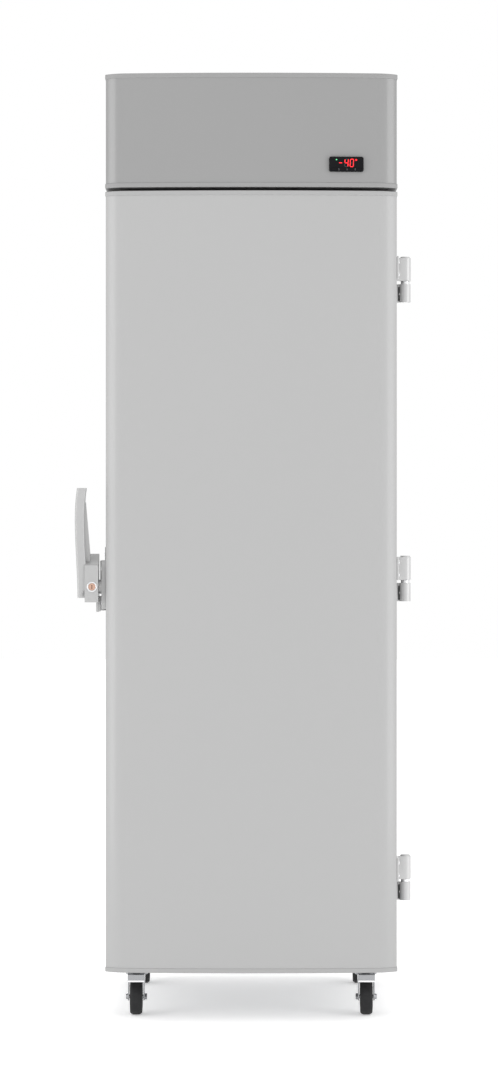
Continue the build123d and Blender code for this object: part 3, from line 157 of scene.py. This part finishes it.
def makeSurfaceDetail():
    group, entry, leave = newGroup(
        "surfaceDetail",
        [("Color", "NodeSocketColor", (0.8, 0.8, 0.8, 1)), ("Tint", "NodeSocketFloat", 0.03),
         ("Roughness", "NodeSocketFloat", 0.4), ("Spread", "NodeSocketFloat", 0.05),
         ("Scale", "NodeSocketFloat", 400.0), ("Stretch", "NodeSocketVector", (1, 1, 1))],
        [("Color", "NodeSocketColor"), ("Roughness", "NodeSocketFloat"), ("Height", "NodeSocketFloat")],
    )
    place = group.nodes.new("ShaderNodeTexCoord")
    stretch = group.nodes.new("ShaderNodeVectorMath")
    stretch.operation = "MULTIPLY"
    group.links.new(place.outputs["Object"], stretch.inputs[0])
    group.links.new(entry.outputs["Stretch"], stretch.inputs[1])
    fine = group.nodes.new("ShaderNodeTexNoise")
    fine.inputs["Detail"].default_value = grain["fineDetail"]
    group.links.new(stretch.outputs[0], fine.inputs["Vector"])
    group.links.new(entry.outputs["Scale"], fine.inputs["Scale"])
    drift = group.nodes.new("ShaderNodeTexNoise")
    drift.inputs["Scale"].default_value = grain["driftScale"]
    drift.inputs["Detail"].default_value = grain["driftDetail"]
    group.links.new(place.outputs["Object"], drift.inputs["Vector"])
    both = addMath(group, "ADD", addMath(group, "MULTIPLY", fine.outputs["Fac"], grain["fineShare"]),
                   addMath(group, "MULTIPLY", drift.outputs["Fac"], grain["driftShare"]))
    swing = addMath(group, "SUBTRACT", both, grain["middle"])
    gain = addMath(group, "ADD", addMath(group, "MULTIPLY", swing, entry.outputs["Tint"]), 1.0)
    tinted = group.nodes.new("ShaderNodeVectorMath")
    tinted.operation = "SCALE"
    group.links.new(entry.outputs["Color"], tinted.inputs[0])
    group.links.new(gain, tinted.inputs["Scale"])
    group.links.new(tinted.outputs[0], leave.inputs["Color"])
    rough = addMath(group, "ADD", entry.outputs["Roughness"],
                    addMath(group, "MULTIPLY", swing, entry.outputs["Spread"]), True)
    group.links.new(rough, leave.inputs["Roughness"])
    group.links.new(fine.outputs["Fac"], leave.inputs["Height"])
    return group


# pale dust on faces that look up: the slope where it starts, and how fast it thickens
dustLayer = {"color": (0.72, 0.71, 0.69, 1), "scale": 60, "detail": 5, "slope": 0.6, "gain": 2.5}


def makeEdgeDust():
    group, entry, leave = newGroup(
        "edgeDust",
        [("Color", "NodeSocketColor", (0.8, 0.8, 0.8, 1)), ("Dust", "NodeSocketFloat", 0.1)],
        [("Color", "NodeSocketColor")],
    )
    normal = group.nodes.new("ShaderNodeNewGeometry")
    split = group.nodes.new("ShaderNodeSeparateXYZ")
    group.links.new(normal.outputs["Normal"], split.inputs[0])
    place = group.nodes.new("ShaderNodeTexCoord")
    speck = group.nodes.new("ShaderNodeTexNoise")
    speck.inputs["Scale"].default_value = dustLayer["scale"]
    speck.inputs["Detail"].default_value = dustLayer["detail"]
    group.links.new(place.outputs["Object"], speck.inputs["Vector"])
    steep = addMath(group, "SUBTRACT", split.outputs["Z"], dustLayer["slope"], True)
    upward = addMath(group, "MULTIPLY", steep, dustLayer["gain"], True)
    mask = addMath(group, "MULTIPLY", addMath(group, "MULTIPLY", upward, speck.outputs["Fac"]),
                   entry.outputs["Dust"], True)
    blend = group.nodes.new("ShaderNodeMix")
    blend.data_type = "RGBA"
    group.links.new(mask, blend.inputs["Factor"])
    group.links.new(entry.outputs["Color"], blend.inputs["A"])
    blend.inputs["B"].default_value = dustLayer["color"]
    group.links.new(blend.outputs["Result"], leave.inputs["Color"])
    return group


surfaceDetail = makeSurfaceDetail()
edgeDust = makeEdgeDust()
reliefDepth = 0.001  # metres of bump at full strength


def makeFinish(name, color, rough=0.4, metal=0.0, tint=0.04, spread=0.08, scale=600.0,
               stretch=(1, 1, 1), bump=0.02, coat=0.0, coatRough=0.1, dust=0.0, specular=0.5, glow=0.0):
    paint = bpy.data.materials.new(name)
    paint.use_nodes = True
    tree = paint.node_tree
    skin = tree.nodes["Principled BSDF"]
    detail = tree.nodes.new("ShaderNodeGroup")
    detail.node_tree = surfaceDetail
    detail.inputs["Color"].default_value = (*color, 1)
    detail.inputs["Tint"].default_value = tint
    detail.inputs["Roughness"].default_value = rough
    detail.inputs["Spread"].default_value = spread
    detail.inputs["Scale"].default_value = scale
    detail.inputs["Stretch"].default_value = stretch
    shade = detail.outputs["Color"]
    if dust > 0:
        powder = tree.nodes.new("ShaderNodeGroup")
        powder.node_tree = edgeDust
        powder.inputs["Dust"].default_value = dust
        tree.links.new(shade, powder.inputs["Color"])
        shade = powder.outputs["Color"]
    tree.links.new(shade, skin.inputs["Base Color"])
    tree.links.new(detail.outputs["Roughness"], skin.inputs["Roughness"])
    relief = tree.nodes.new("ShaderNodeBump")
    relief.inputs["Strength"].default_value = bump
    relief.inputs["Distance"].default_value = reliefDepth
    tree.links.new(detail.outputs["Height"], relief.inputs["Height"])
    tree.links.new(relief.outputs["Normal"], skin.inputs["Normal"])
    skin.inputs["Metallic"].default_value = metal
    skin.inputs["Specular IOR Level"].default_value = specular
    skin.inputs["Coat Weight"].default_value = coat
    skin.inputs["Coat Roughness"].default_value = coatRough
    if glow > 0:
        skin.inputs["Emission Color"].default_value = (*color, 1)
        skin.inputs["Emission Strength"].default_value = glow
    return paint


finishes = {
    "cabinet_enamel": makeFinish(
        "doorEnamel", (0.362, 0.362, 0.362), rough=0.36, bump=0.03, tint=0.02, coat=0.2),
    "head_enamel": makeFinish(
        "headEnamel", (0.250, 0.250, 0.250), rough=0.30, bump=0.03, tint=0.02, coat=0.35),
    "trim_plastic": makeFinish(
        "doorTrimPlastic", (0.335, 0.335, 0.335), rough=0.45, scale=1500, bump=0.05),
    "head_trim_plastic": makeFinish(
        "headTrimPlastic", (0.262, 0.262, 0.262), rough=0.45, scale=1500, bump=0.05),
    "galvanised": makeFinish(
        "galvanisedSheet", (0.44, 0.445, 0.455), rough=0.42, metal=0.85, tint=0.25,
        spread=0.3, scale=45, bump=0.02, dust=0.3),
    "bare_aluminium": makeFinish(
        "finAluminium", (0.78, 0.78, 0.79), rough=0.35, metal=1.0, tint=0.08,
        scale=300, stretch=(1, 1, 8), bump=0.05),
    "foam": makeFinish(
        "rigidFoam", (0.72, 0.62, 0.36), rough=0.9, tint=0.15, scale=900, bump=0.4),
    "stainless": makeFinish(
        "brushedStainless", (0.66, 0.66, 0.67), rough=0.32, metal=1.0, tint=0.1,
        spread=0.2, scale=260, stretch=(0.12, 1, 6), bump=0.06),
    "white_plastic": makeFinish(
        "breakerPlastic", (0.58, 0.585, 0.585), rough=0.4, scale=1200, bump=0.05),
    "gasket_rubber": makeFinish(
        "gasketVinyl", (0.42, 0.43, 0.44), rough=0.6, scale=1400, bump=0.08),
    "black_plastic": makeFinish(
        "blackMoulding", (0.022, 0.022, 0.024), rough=0.5, scale=1600, bump=0.12, dust=0.08),
    "compressor_black": makeFinish(
        "compressorPaint", (0.015, 0.015, 0.016), rough=0.28, scale=500,
        bump=0.06, coat=0.5, dust=0.18),
    "black_rubber": makeFinish(
        "grommetRubber", (0.02, 0.02, 0.02), rough=0.75, scale=1200, bump=0.1, dust=0.15),
    "copper": makeFinish(
        "drawnCopper", (0.72, 0.36, 0.22), rough=0.3, metal=1.0, tint=0.2,
        spread=0.25, scale=140, bump=0.03),
    "gloss_black": makeFinish(
        "glossBlackPanel", (0.004, 0.004, 0.005), rough=0.16, scale=900, bump=0.004, specular=0.14),
    "red_light": makeFinish(
        "redSegments", (1.0, 0.035, 0.045), rough=0.4, tint=0.05, glow=0.8, specular=0.1),
    "green_light": makeFinish(
        "greenLamp", (0.12, 0.62, 0.27), rough=0.4, tint=0.05, glow=0.45),
    "hinge_metal": makeFinish(
        "hingePaint", (0.50, 0.50, 0.50), rough=0.3, metal=0.15, scale=900, bump=0.04, coat=0.4),
    "latch_metal": makeFinish(
        "latchPaint", (0.38, 0.38, 0.38), rough=0.33, metal=0.15, scale=900, bump=0.05, coat=0.35),
    "bright_steel": makeFinish(
        "brightSteel", (0.75, 0.75, 0.76), rough=0.2, metal=1.0, scale=500, bump=0.02),
    "chrome": makeFinish(
        "lockChrome", (0.85, 0.85, 0.86), rough=0.08, metal=1.0, tint=0.02, scale=500, bump=0.01),
    "lock_brass": makeFinish(
        "lockBarrel", (0.56, 0.36, 0.28), rough=0.3, metal=0.9, tint=0.15, scale=400, bump=0.04),
    "zinc": makeFinish(
        "zincPlate", (0.34, 0.345, 0.355), rough=0.24, metal=1.0, tint=0.14,
        spread=0.2, scale=180, bump=0.03),
    "wheel_black": makeFinish(
        "wheelTread", (0.014, 0.014, 0.015), rough=0.6, tint=0.3, scale=350,
        bump=0.12, dust=0.1, specular=0.3),
}
print("finishes ready:", len(finishes))

bodies = frame["record"]["behaviour"]["bodies"]
bodyOf = {node: body for body, nodes in bodies.items() for node in nodes}
slotOf = {entry["node"]: entry["material_slot"] for entry in frame["record"]["subparts"]}
meshing = {"merge": 1e-6, "solidMerge": 2e-6, "flatAngle": 0.4, "sharpAngle": 32}  # metres and degrees


def makePiece(name, bm, slotName, body, replaced=(), softEdge=0.0, segments=2):
    bmesh.ops.remove_doubles(bm, verts=bm.verts[:], dist=meshing["merge"])
    bmesh.ops.recalc_face_normals(bm, faces=bm.faces[:])
    mesh = bpy.data.meshes.new(name)
    bm.to_mesh(mesh)
    bm.free()
    obj = bpy.data.objects.new(name, mesh)
    bpy.context.collection.objects.link(obj)
    mesh.shade_smooth()
    mesh.set_sharp_from_angle(angle=math.radians(meshing["sharpAngle"]))
    mesh.materials.append(finishes[slotName])
    if softEdge > 0:
        rounding = obj.modifiers.new("softEdge", "BEVEL")
        rounding.width = softEdge
        rounding.segments = segments
        rounding.limit_method = "ANGLE"
        rounding.angle_limit = math.radians(meshing["sharpAngle"])
        rounding.harden_normals = True
    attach(obj, body)
    if replaced:
        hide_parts(*replaced)


def solidSurface(node):  # a merged copy of a solid's own triangles
    bm = bmesh.new()
    bm.from_mesh(frame["nodes"][node].data)
    bmesh.ops.remove_doubles(bm, verts=bm.verts[:], dist=meshing["solidMerge"])
    return bm


def copiedPiece(node, softEdge):
    bm = solidSurface(node)
    bmesh.ops.dissolve_limit(bm, angle_limit=math.radians(meshing["flatAngle"]),
                             verts=bm.verts[:], edges=bm.edges[:])
    makePiece(node + "_finished", bm, slotOf[node], bodyOf[node], (node,), softEdge)


def newVerts(geometry):
    return [item for item in geometry if isinstance(item, bmesh.types.BMVert)]


# every solid gets its finish; the ones in view are then dressed or replaced
for node, obj in frame["nodes"].items():
    obj.data.materials.clear()
    obj.data.materials.append(finishes[slotOf[node]])
print("solids finished:", len(frame["nodes"]))

# bowed sheets and trims
bow = {
    "radius": 3.590, "cornerWidth": 0.042, "cornerDepth": 0.0175, "halfWidth": 0.300,
    "frontY": -0.350, "bowSteps": 48, "cornerSteps": 14,
}


# one vertex swept round the long arc and both corner arcs, then drawn back along the sides
def bowOutline(bm, level, inset, backY):
    half = bow["halfWidth"] - bow["cornerWidth"]
    sweep = math.asin(half / bow["radius"])
    drop = bow["radius"] * (1 - math.cos(sweep))
    chord = math.hypot(bow["cornerWidth"], bow["cornerDepth"])
    turn = 2 * (math.atan2(bow["cornerDepth"], bow["cornerWidth"]) - sweep)
    cornerRadius = chord / (2 * math.sin(turn / 2))
    upright = (0, 0, 1)
    centre = Vector((0, bow["frontY"] + bow["radius"], level))
    reach = bow["radius"] - inset
    start = bm.verts.new(centre + Vector((-math.sin(sweep), -math.cos(sweep), 0)) * reach)
    run = bmesh.ops.spin(bm, geom=[start], cent=centre, axis=upright, angle=2 * sweep, steps=bow["bowSteps"])
    ends = {-1: start, 1: newVerts(run["geom_last"])[0]}
    for side, vertex in ends.items():
        outward = Vector((side * math.sin(sweep), -math.cos(sweep), 0))
        pivot = Vector((side * half, bow["frontY"] + drop, level)) - outward * cornerRadius
        arc = bmesh.ops.spin(bm, geom=[vertex], cent=pivot, axis=upright, angle=side * turn,
                             steps=bow["cornerSteps"])
        last = newVerts(arc["geom_last"])[0]
        last.co.x = side * (bow["halfWidth"] - inset)
        back = bmesh.ops.extrude_vert_indiv(bm, verts=[last])["verts"][0]
        back.co = Vector((side * (bow["halfWidth"] - inset), backY, level))
        ends[side] = back
    return ends


def bowedSheet(name, node, thickness, lip):
    low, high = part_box(node)
    bm = bmesh.new()
    ends = bowOutline(bm, low.z, thickness / 2, high.y)
    if lip > 0:
        for side, vertex in ends.items():
            turned = bmesh.ops.extrude_vert_indiv(bm, verts=[vertex])["verts"][0]
            turned.co.x -= side * lip
            vertex.co.y -= thickness / 2
            turned.co.y = vertex.co.y
    grown = bmesh.ops.extrude_edge_only(bm, edges=bm.edges[:])
    bmesh.ops.translate(bm, verts=newVerts(grown["geom"]), vec=(0, 0, high.z - low.z))
    bmesh.ops.recalc_face_normals(bm, faces=bm.faces[:])
    bmesh.ops.solidify(bm, geom=bm.faces[:], thickness=thickness)
    makePiece(name, bm, slotOf[node], bodyOf[node], (node,))


doorSheet = {"thickness": 0.001, "lip": 0.0155}
headSheet = {"thickness": 0.0012, "lip": 0.0}
bowedSheet("doorSkin", "door_skin", doorSheet["thickness"], doorSheet["lip"])
bowedSheet("headSkin", "head_shell", headSheet["thickness"], headSheet["lip"])

# the plates stop a hair inside the solids' overhang
trim = {"overhang": 0.001, "hair": 0.0001, "rounding": 0.0016, "segments": 3}


def trimPlate(name, low, high, backY):
    bm = bmesh.new()
    bowOutline(bm, low, trim["hair"] - trim["overhang"], backY)
    bmesh.ops.remove_doubles(bm, verts=bm.verts[:], dist=meshing["merge"])
    bmesh.ops.contextual_create(bm, geom=bm.edges[:])
    slab = bmesh.ops.extrude_face_region(bm, geom=bm.faces[:])
    bmesh.ops.translate(bm, verts=newVerts(slab["geom"]), vec=(0, 0, high - low))
    makePiece(name, bm, "trim_plastic", "door", ("door_trims",), trim["rounding"], trim["segments"])


def buildTrims():
    low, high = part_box("door_trims")
    skinLow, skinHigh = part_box("door_skin")
    trimPlate("doorTrimLower", low.z, skinLow.z, high.y)
    trimPlate("doorTrimUpper", skinHigh.z, high.z, high.y)


buildTrims()
print("bowed sheets and trims built")

# pieces whose solid shape is right get merged copies, their edges softened by this width
softened = {
    "head_trims": 0.0014, "hinge_door_halves": 0.0009, "hinge_cabinet_halves": 0.0009, "hinge_pins": 0.0004,
    "latch_base": 0.0010, "latch_lever": 0.0014, "lock_ring": 0.0005, "lock_core": 0.0004,
    "latch_keeper": 0.0006, "keeper_screws": 0.0006, "door_screws": 0.0006, "cabinet_screws": 0.0006,
    "controller_bezel": 0.0003, "compressor": 0.0010, "compressor_grommets": 0.0020, "relay_box": 0.0010,
    "power_inlet": 0.0005, "filter_drier": 0.0006, "fan_motor": 0.0008, "fan_blades": 0.0004,
    "door_gasket": 0.0012, "breaker_frame": 0.0010, "outer_case": 0.0004,
}
casterSoftness = 0.0006
for node, width in softened.items():
    copiedPiece(node, width)
for node in sorted(frame["nodes"]):
    if node.startswith("caster_"):
        copiedPiece(node, casterSoftness)
print("solids softened:", len(softened))


# a plate in the place's own plane, its upright edges rounded by corner
def roundedSlab(bm, place, sizeX, sizeY, low, high, corner=0.0, steps=6):
    made = bmesh.ops.create_cube(bm, size=1.0)["verts"]
    bmesh.ops.scale(bm, vec=(sizeX, sizeY, high - low), verts=made)
    bmesh.ops.translate(bm, vec=(0, 0, (low + high) / 2), verts=made)
    if corner > 0:
        upright = [item for item in {link for vert in made for link in vert.link_edges}
                   if abs(item.verts[0].co.z - item.verts[1].co.z) > (high - low) / 2]
        cut = bmesh.ops.bevel(bm, geom=upright, offset=corner, segments=steps,
                              affect="EDGES", profile=0.5, material=-1)
        kept = {vert for vert in made if vert.is_valid}
        made = list({vert for face in cut["faces"] for vert in face.verts} | kept)
    bmesh.ops.transform(bm, matrix=place, verts=made)


def shifted(x, y):
    return Matrix.Translation((x, y, 0))


# controller display: lit segments, lamp, icons and key legends on the glossy panel
controller = {
    "panelDepth": 0.005, "windowDepth": 0.0008, "windowRise": 0.0026, "thickness": 0.0004,
    "digitHeight": 0.0168, "digitWidth": 0.0082, "stroke": 0.0015, "gap": 0.0005, "slant": 3.4,
    "barEnd": 0.49, "unlitPart": 3, "fourX": 0.0002, "zeroX": 0.0112, "minusX": -0.012, "minusWidth": 0.0068,
    "degreeX": 0.0202, "degreeRise": 0.0062, "degreeSize": 0.0028, "degreeStroke": 0.0009, "degreeSide": 1.9,
    "lampX": -0.0203, "lampRise": 0.0092, "lampSize": (0.0028, 0.0022), "lampCorner": 0.0008,
    "legendXs": (-0.0256, -0.0075, 0.0091, 0.0268), "legendDrop": 0.0109, "legendRow": 0.0009,
    "legendStroke": 0.0009, "legendWidth": 0.0052, "legendTaper": 0.0006,
    "tickXs": (-0.0155, 0.0015, 0.0180), "tickSize": (0.0005, 0.0042), "inkDepth": 0.0001,
    "iconX": -0.0283, "iconPitch": 0.0062, "iconRows": 3, "iconSize": 0.0021, "iconCorner": 0.0009,
}
segmentPlaces = {  # side and rise in half digits, and whether the bar stands upright
    "a": (0, 2, 0), "b": (1, 1.5, 1), "c": (1, 0.5, 1), "d": (0, 0, 0),
    "e": (-1, 0.5, 1), "f": (-1, 1.5, 1), "g": (0, 1, 0),
}


# middle of the bezel's back plane on the bow: x across, y up, z out
def controllerPlace():
    low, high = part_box("controller_bezel")
    middle = (low + high) / 2
    tilt = math.asin(middle.x / bow["radius"])
    outward = Vector((math.sin(tilt), -math.cos(tilt), 0))
    across = Vector((math.cos(tilt), math.sin(tilt), 0))
    skin = middle - outward * controller["panelDepth"] / 2
    return Matrix.Translation(skin) @ Matrix((across, Vector((0, 0, 1)), outward)).transposed().to_4x4()


def segmentBar(bm, place, x, y, length, width, turn, low, high):
    spot = place @ shifted(x, y) @ Matrix.Rotation(math.radians(turn), 4, "Z")
    roundedSlab(bm, spot, length, width, low, high, corner=width * controller["barEnd"], steps=1)


def lightDigit(bm, place, x, y, lit, low, high):
    stroke, slant = controller["stroke"], controller["slant"]
    reach = (controller["digitHeight"] - stroke) / 2
    half = (controller["digitWidth"] - stroke) / 2
    for name in lit:
        side, rise, upright = segmentPlaces[name]
        lean = (rise - 1) * reach * math.tan(math.radians(slant))
        length = (reach if upright else 2 * half) - controller["gap"]
        turn = 90 - slant if upright else 0
        segmentBar(bm, place, x + side * half + lean, y + (rise - 1) * reach, length, stroke, turn, low, high)


def buildDisplay(place, rise, pane, top):
    digits = bmesh.new()
    segmentBar(digits, place, controller["minusX"], rise, controller["minusWidth"], controller["stroke"], 0,
               pane, top)
    lightDigit(digits, place, controller["fourX"], rise, "bcfg", pane, top)
    lightDigit(digits, place, controller["zeroX"], rise, "abcdef", pane, top)
    ring = controller["degreeSize"] / 2
    for side, lift, turn in ((0, ring, 0), (0, -ring, 0), (-ring, 0, 90), (ring, 0, 90)):
        segmentBar(digits, place, controller["degreeX"] + side, rise + controller["degreeRise"] + lift,
                   ring * controller["degreeSide"], controller["degreeStroke"], turn, pane, top)
    makePiece("displaySegments", digits, "red_light", "cabinet", ("display_digits",))
    ghost = bmesh.new()
    unlitTop = pane + controller["thickness"] / controller["unlitPart"]
    for x in (controller["fourX"], controller["zeroX"]):
        lightDigit(ghost, place, x, rise, "abcdefg", pane, unlitTop)
    makePiece("unlitSegments", ghost, "black_plastic", "cabinet")
    lamp = bmesh.new()
    roundedSlab(lamp, place @ shifted(controller["lampX"], controller["lampRise"]), *controller["lampSize"],
                pane, top, corner=controller["lampCorner"])
    makePiece("greenLamp", lamp, "green_light", "cabinet", ("status_lamp",))


def printMark(bm, place, x, y, width, height, corner=0.0):
    face = controller["panelDepth"]
    roundedSlab(bm, place @ shifted(x, y), width, height, face - controller["inkDepth"], face, corner=corner)


def buildLegends(place, rise):
    marks = bmesh.new()
    legendXs, drop = controller["legendXs"], controller["legendDrop"]
    for index, x in enumerate(legendXs):
        width = controller["legendWidth"] - controller["legendTaper"] * index
        for row in (-controller["legendRow"], controller["legendRow"]):
            stagger = row * (index - (len(legendXs) - 1) / 2)
            printMark(marks, place, x + stagger, row - drop, width, controller["legendStroke"])
    for x in controller["tickXs"]:
        printMark(marks, place, x, -drop, *controller["tickSize"])
    size, pitch = controller["iconSize"], controller["iconPitch"]
    for row in range(controller["iconRows"]):
        printMark(marks, place, controller["iconX"], rise + pitch - row * pitch, size, size,
                  controller["iconCorner"])
    makePiece("panelLegends", marks, "trim_plastic", "cabinet")


def buildController():
    place = controllerPlace()
    pane = controller["panelDepth"] - controller["windowDepth"]
    buildDisplay(place, controller["windowRise"], pane, pane + controller["thickness"])
    buildLegends(place, controller["windowRise"])


buildController()
print("controller display built")

# hinges: painted shade on each lower wing, a thin black sheet where the wing sits back in shadow, and a set
# screw
wingDetail = {
    "x": 0.309, "pinLength": 0.072, "faceBack": 0.009, "drop": 0.0185, "width": 0.0090, "height": 0.0300,
    "corner": 0.002, "sheet": 0.0003, "screw": 0.0046, "screwTaper": 2.4, "screwSides": 20,
}


def buildWingDetails():
    low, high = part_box("hinge_pins")
    spread = (high.z - low.z - wingDetail["pinLength"]) / 2  # from the middle pin to the outer ones
    face = low.y + wingDetail["faceBack"]
    sheet = wingDetail["sheet"]
    facing = Matrix.Rotation(math.pi / 2, 4, "X")
    recessShade, screws = bmesh.new(), bmesh.new()
    for step in (-1, 0, 1):
        level = (low.z + high.z) / 2 + step * spread - wingDetail["drop"]
        spot = Matrix.Translation((wingDetail["x"], face, level)) @ facing
        # painted shade: a thin black sheet laid on the wing's face in place of its shadow
        roundedSlab(recessShade, spot, wingDetail["width"], wingDetail["height"], 0, sheet,
                    corner=wingDetail["corner"])
        bmesh.ops.create_cone(screws, cap_ends=True, segments=wingDetail["screwSides"],
                              radius1=wingDetail["screw"] / 2,
                              radius2=wingDetail["screw"] / wingDetail["screwTaper"], depth=2 * sheet,
                              matrix=spot @ Matrix.Translation((0, 0, 2 * sheet)))
    makePiece("hingeRecessShade", recessShade, "black_plastic", "cabinet")
    makePiece("hingeSetScrews", screws, "bright_steel", "cabinet")


buildWingDetails()
print("hinge details built")

# casters: the pressed hood over each wheel's front in darker zinc, with a real bent lip along its lower edge
# whose bright steel is a painted highlight
hood = {
    "drop": 0.0140, "sheet": 0.0014, "width": 0.0340, "back": 0.0280,
    "topCorner": 0.004, "frontCorner": 0.0006, "edgePart": 3,
}


def buildCasterHood(place):
    sheet, width, back = hood["sheet"], hood["width"], hood["back"]
    wheelLow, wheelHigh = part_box("caster_wheel_" + place)
    middle = (wheelLow + wheelHigh) / 2
    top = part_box("caster_fork_" + place)[1].z
    rim = top - hood["drop"]
    front, centreY = middle.y - back, middle.y - back / 2
    softness = sheet / hood["edgePart"]
    bm = bmesh.new()
    roundedSlab(bm, shifted(middle.x, centreY), width, back, top - sheet, top, corner=hood["topCorner"])
    roundedSlab(bm, shifted(middle.x, front), width, sheet, rim, top, corner=hood["frontCorner"])
    for side in (-1, 1):
        roundedSlab(bm, shifted(middle.x + side * (width - sheet) / 2, centreY), sheet, back, rim, top)
    makePiece("casterHood_" + place, bm, "zinc", "caster_" + place, softEdge=softness)
    # painted highlight: the lip is made in bright steel, lighter than the zinc hood it belongs to
    lip = bmesh.new()
    roundedSlab(lip, shifted(middle.x, front - sheet / 2), width + sheet, sheet, rim - sheet, rim + 2 * sheet)
    makePiece("casterLipHighlight_" + place, lip, "bright_steel", "caster_" + place, softEdge=softness)


for place in ("front_left", "front_right", "rear_left", "rear_right"):
    buildCasterHood(place)
print("caster hoods built")

# painted shade in the screw heads: flat black crosses stand in for the shaded cross hollows
crossShade = {"length": 0.0046, "width": 0.0010, "lift": 0.00005, "angles": (25, 115)}


# outer end of each separate screw in a node
def screwHeads(node):
    bm = solidSurface(node)
    heads, seen = [], set()
    for first in bm.verts:
        if first in seen:
            continue
        seen.add(first)
        screw = [first]
        for vert in screw:  # the list grows while its neighbours are found
            for edge in vert.link_edges:
                near = edge.other_vert(vert)
                if near not in seen:
                    seen.add(near)
                    screw.append(near)
        outer = max((vert.co.x for vert in screw), key=abs)
        middle = sum((vert.co for vert in screw), Vector()) / len(screw)
        heads.append(Vector((outer, middle.y, middle.z)))
    bm.free()
    return heads


def buildScrewCrossShade():
    lift = crossShade["lift"]
    for node in ("cabinet_screws", "door_screws", "keeper_screws"):
        marks = bmesh.new()
        for head in screwHeads(node):
            side = 1 if head.x > 0 else -1
            sunk = Matrix.Translation(head - Vector((side * lift, 0, 0)))
            facing = sunk @ Matrix.Rotation(side * math.pi / 2, 4, "Y")
            for angle in crossShade["angles"]:
                # painted shade: each cross is a thin black slab laid on the head, not a cut
                roundedSlab(marks, facing @ Matrix.Rotation(math.radians(angle), 4, "Z"),
                            crossShade["length"], crossShade["width"], -lift, 2 * lift)
        makePiece(node + "_crossShade", marks, "black_plastic", bodyOf[node])


buildScrewCrossShade()
print("screw cross shade drawn")
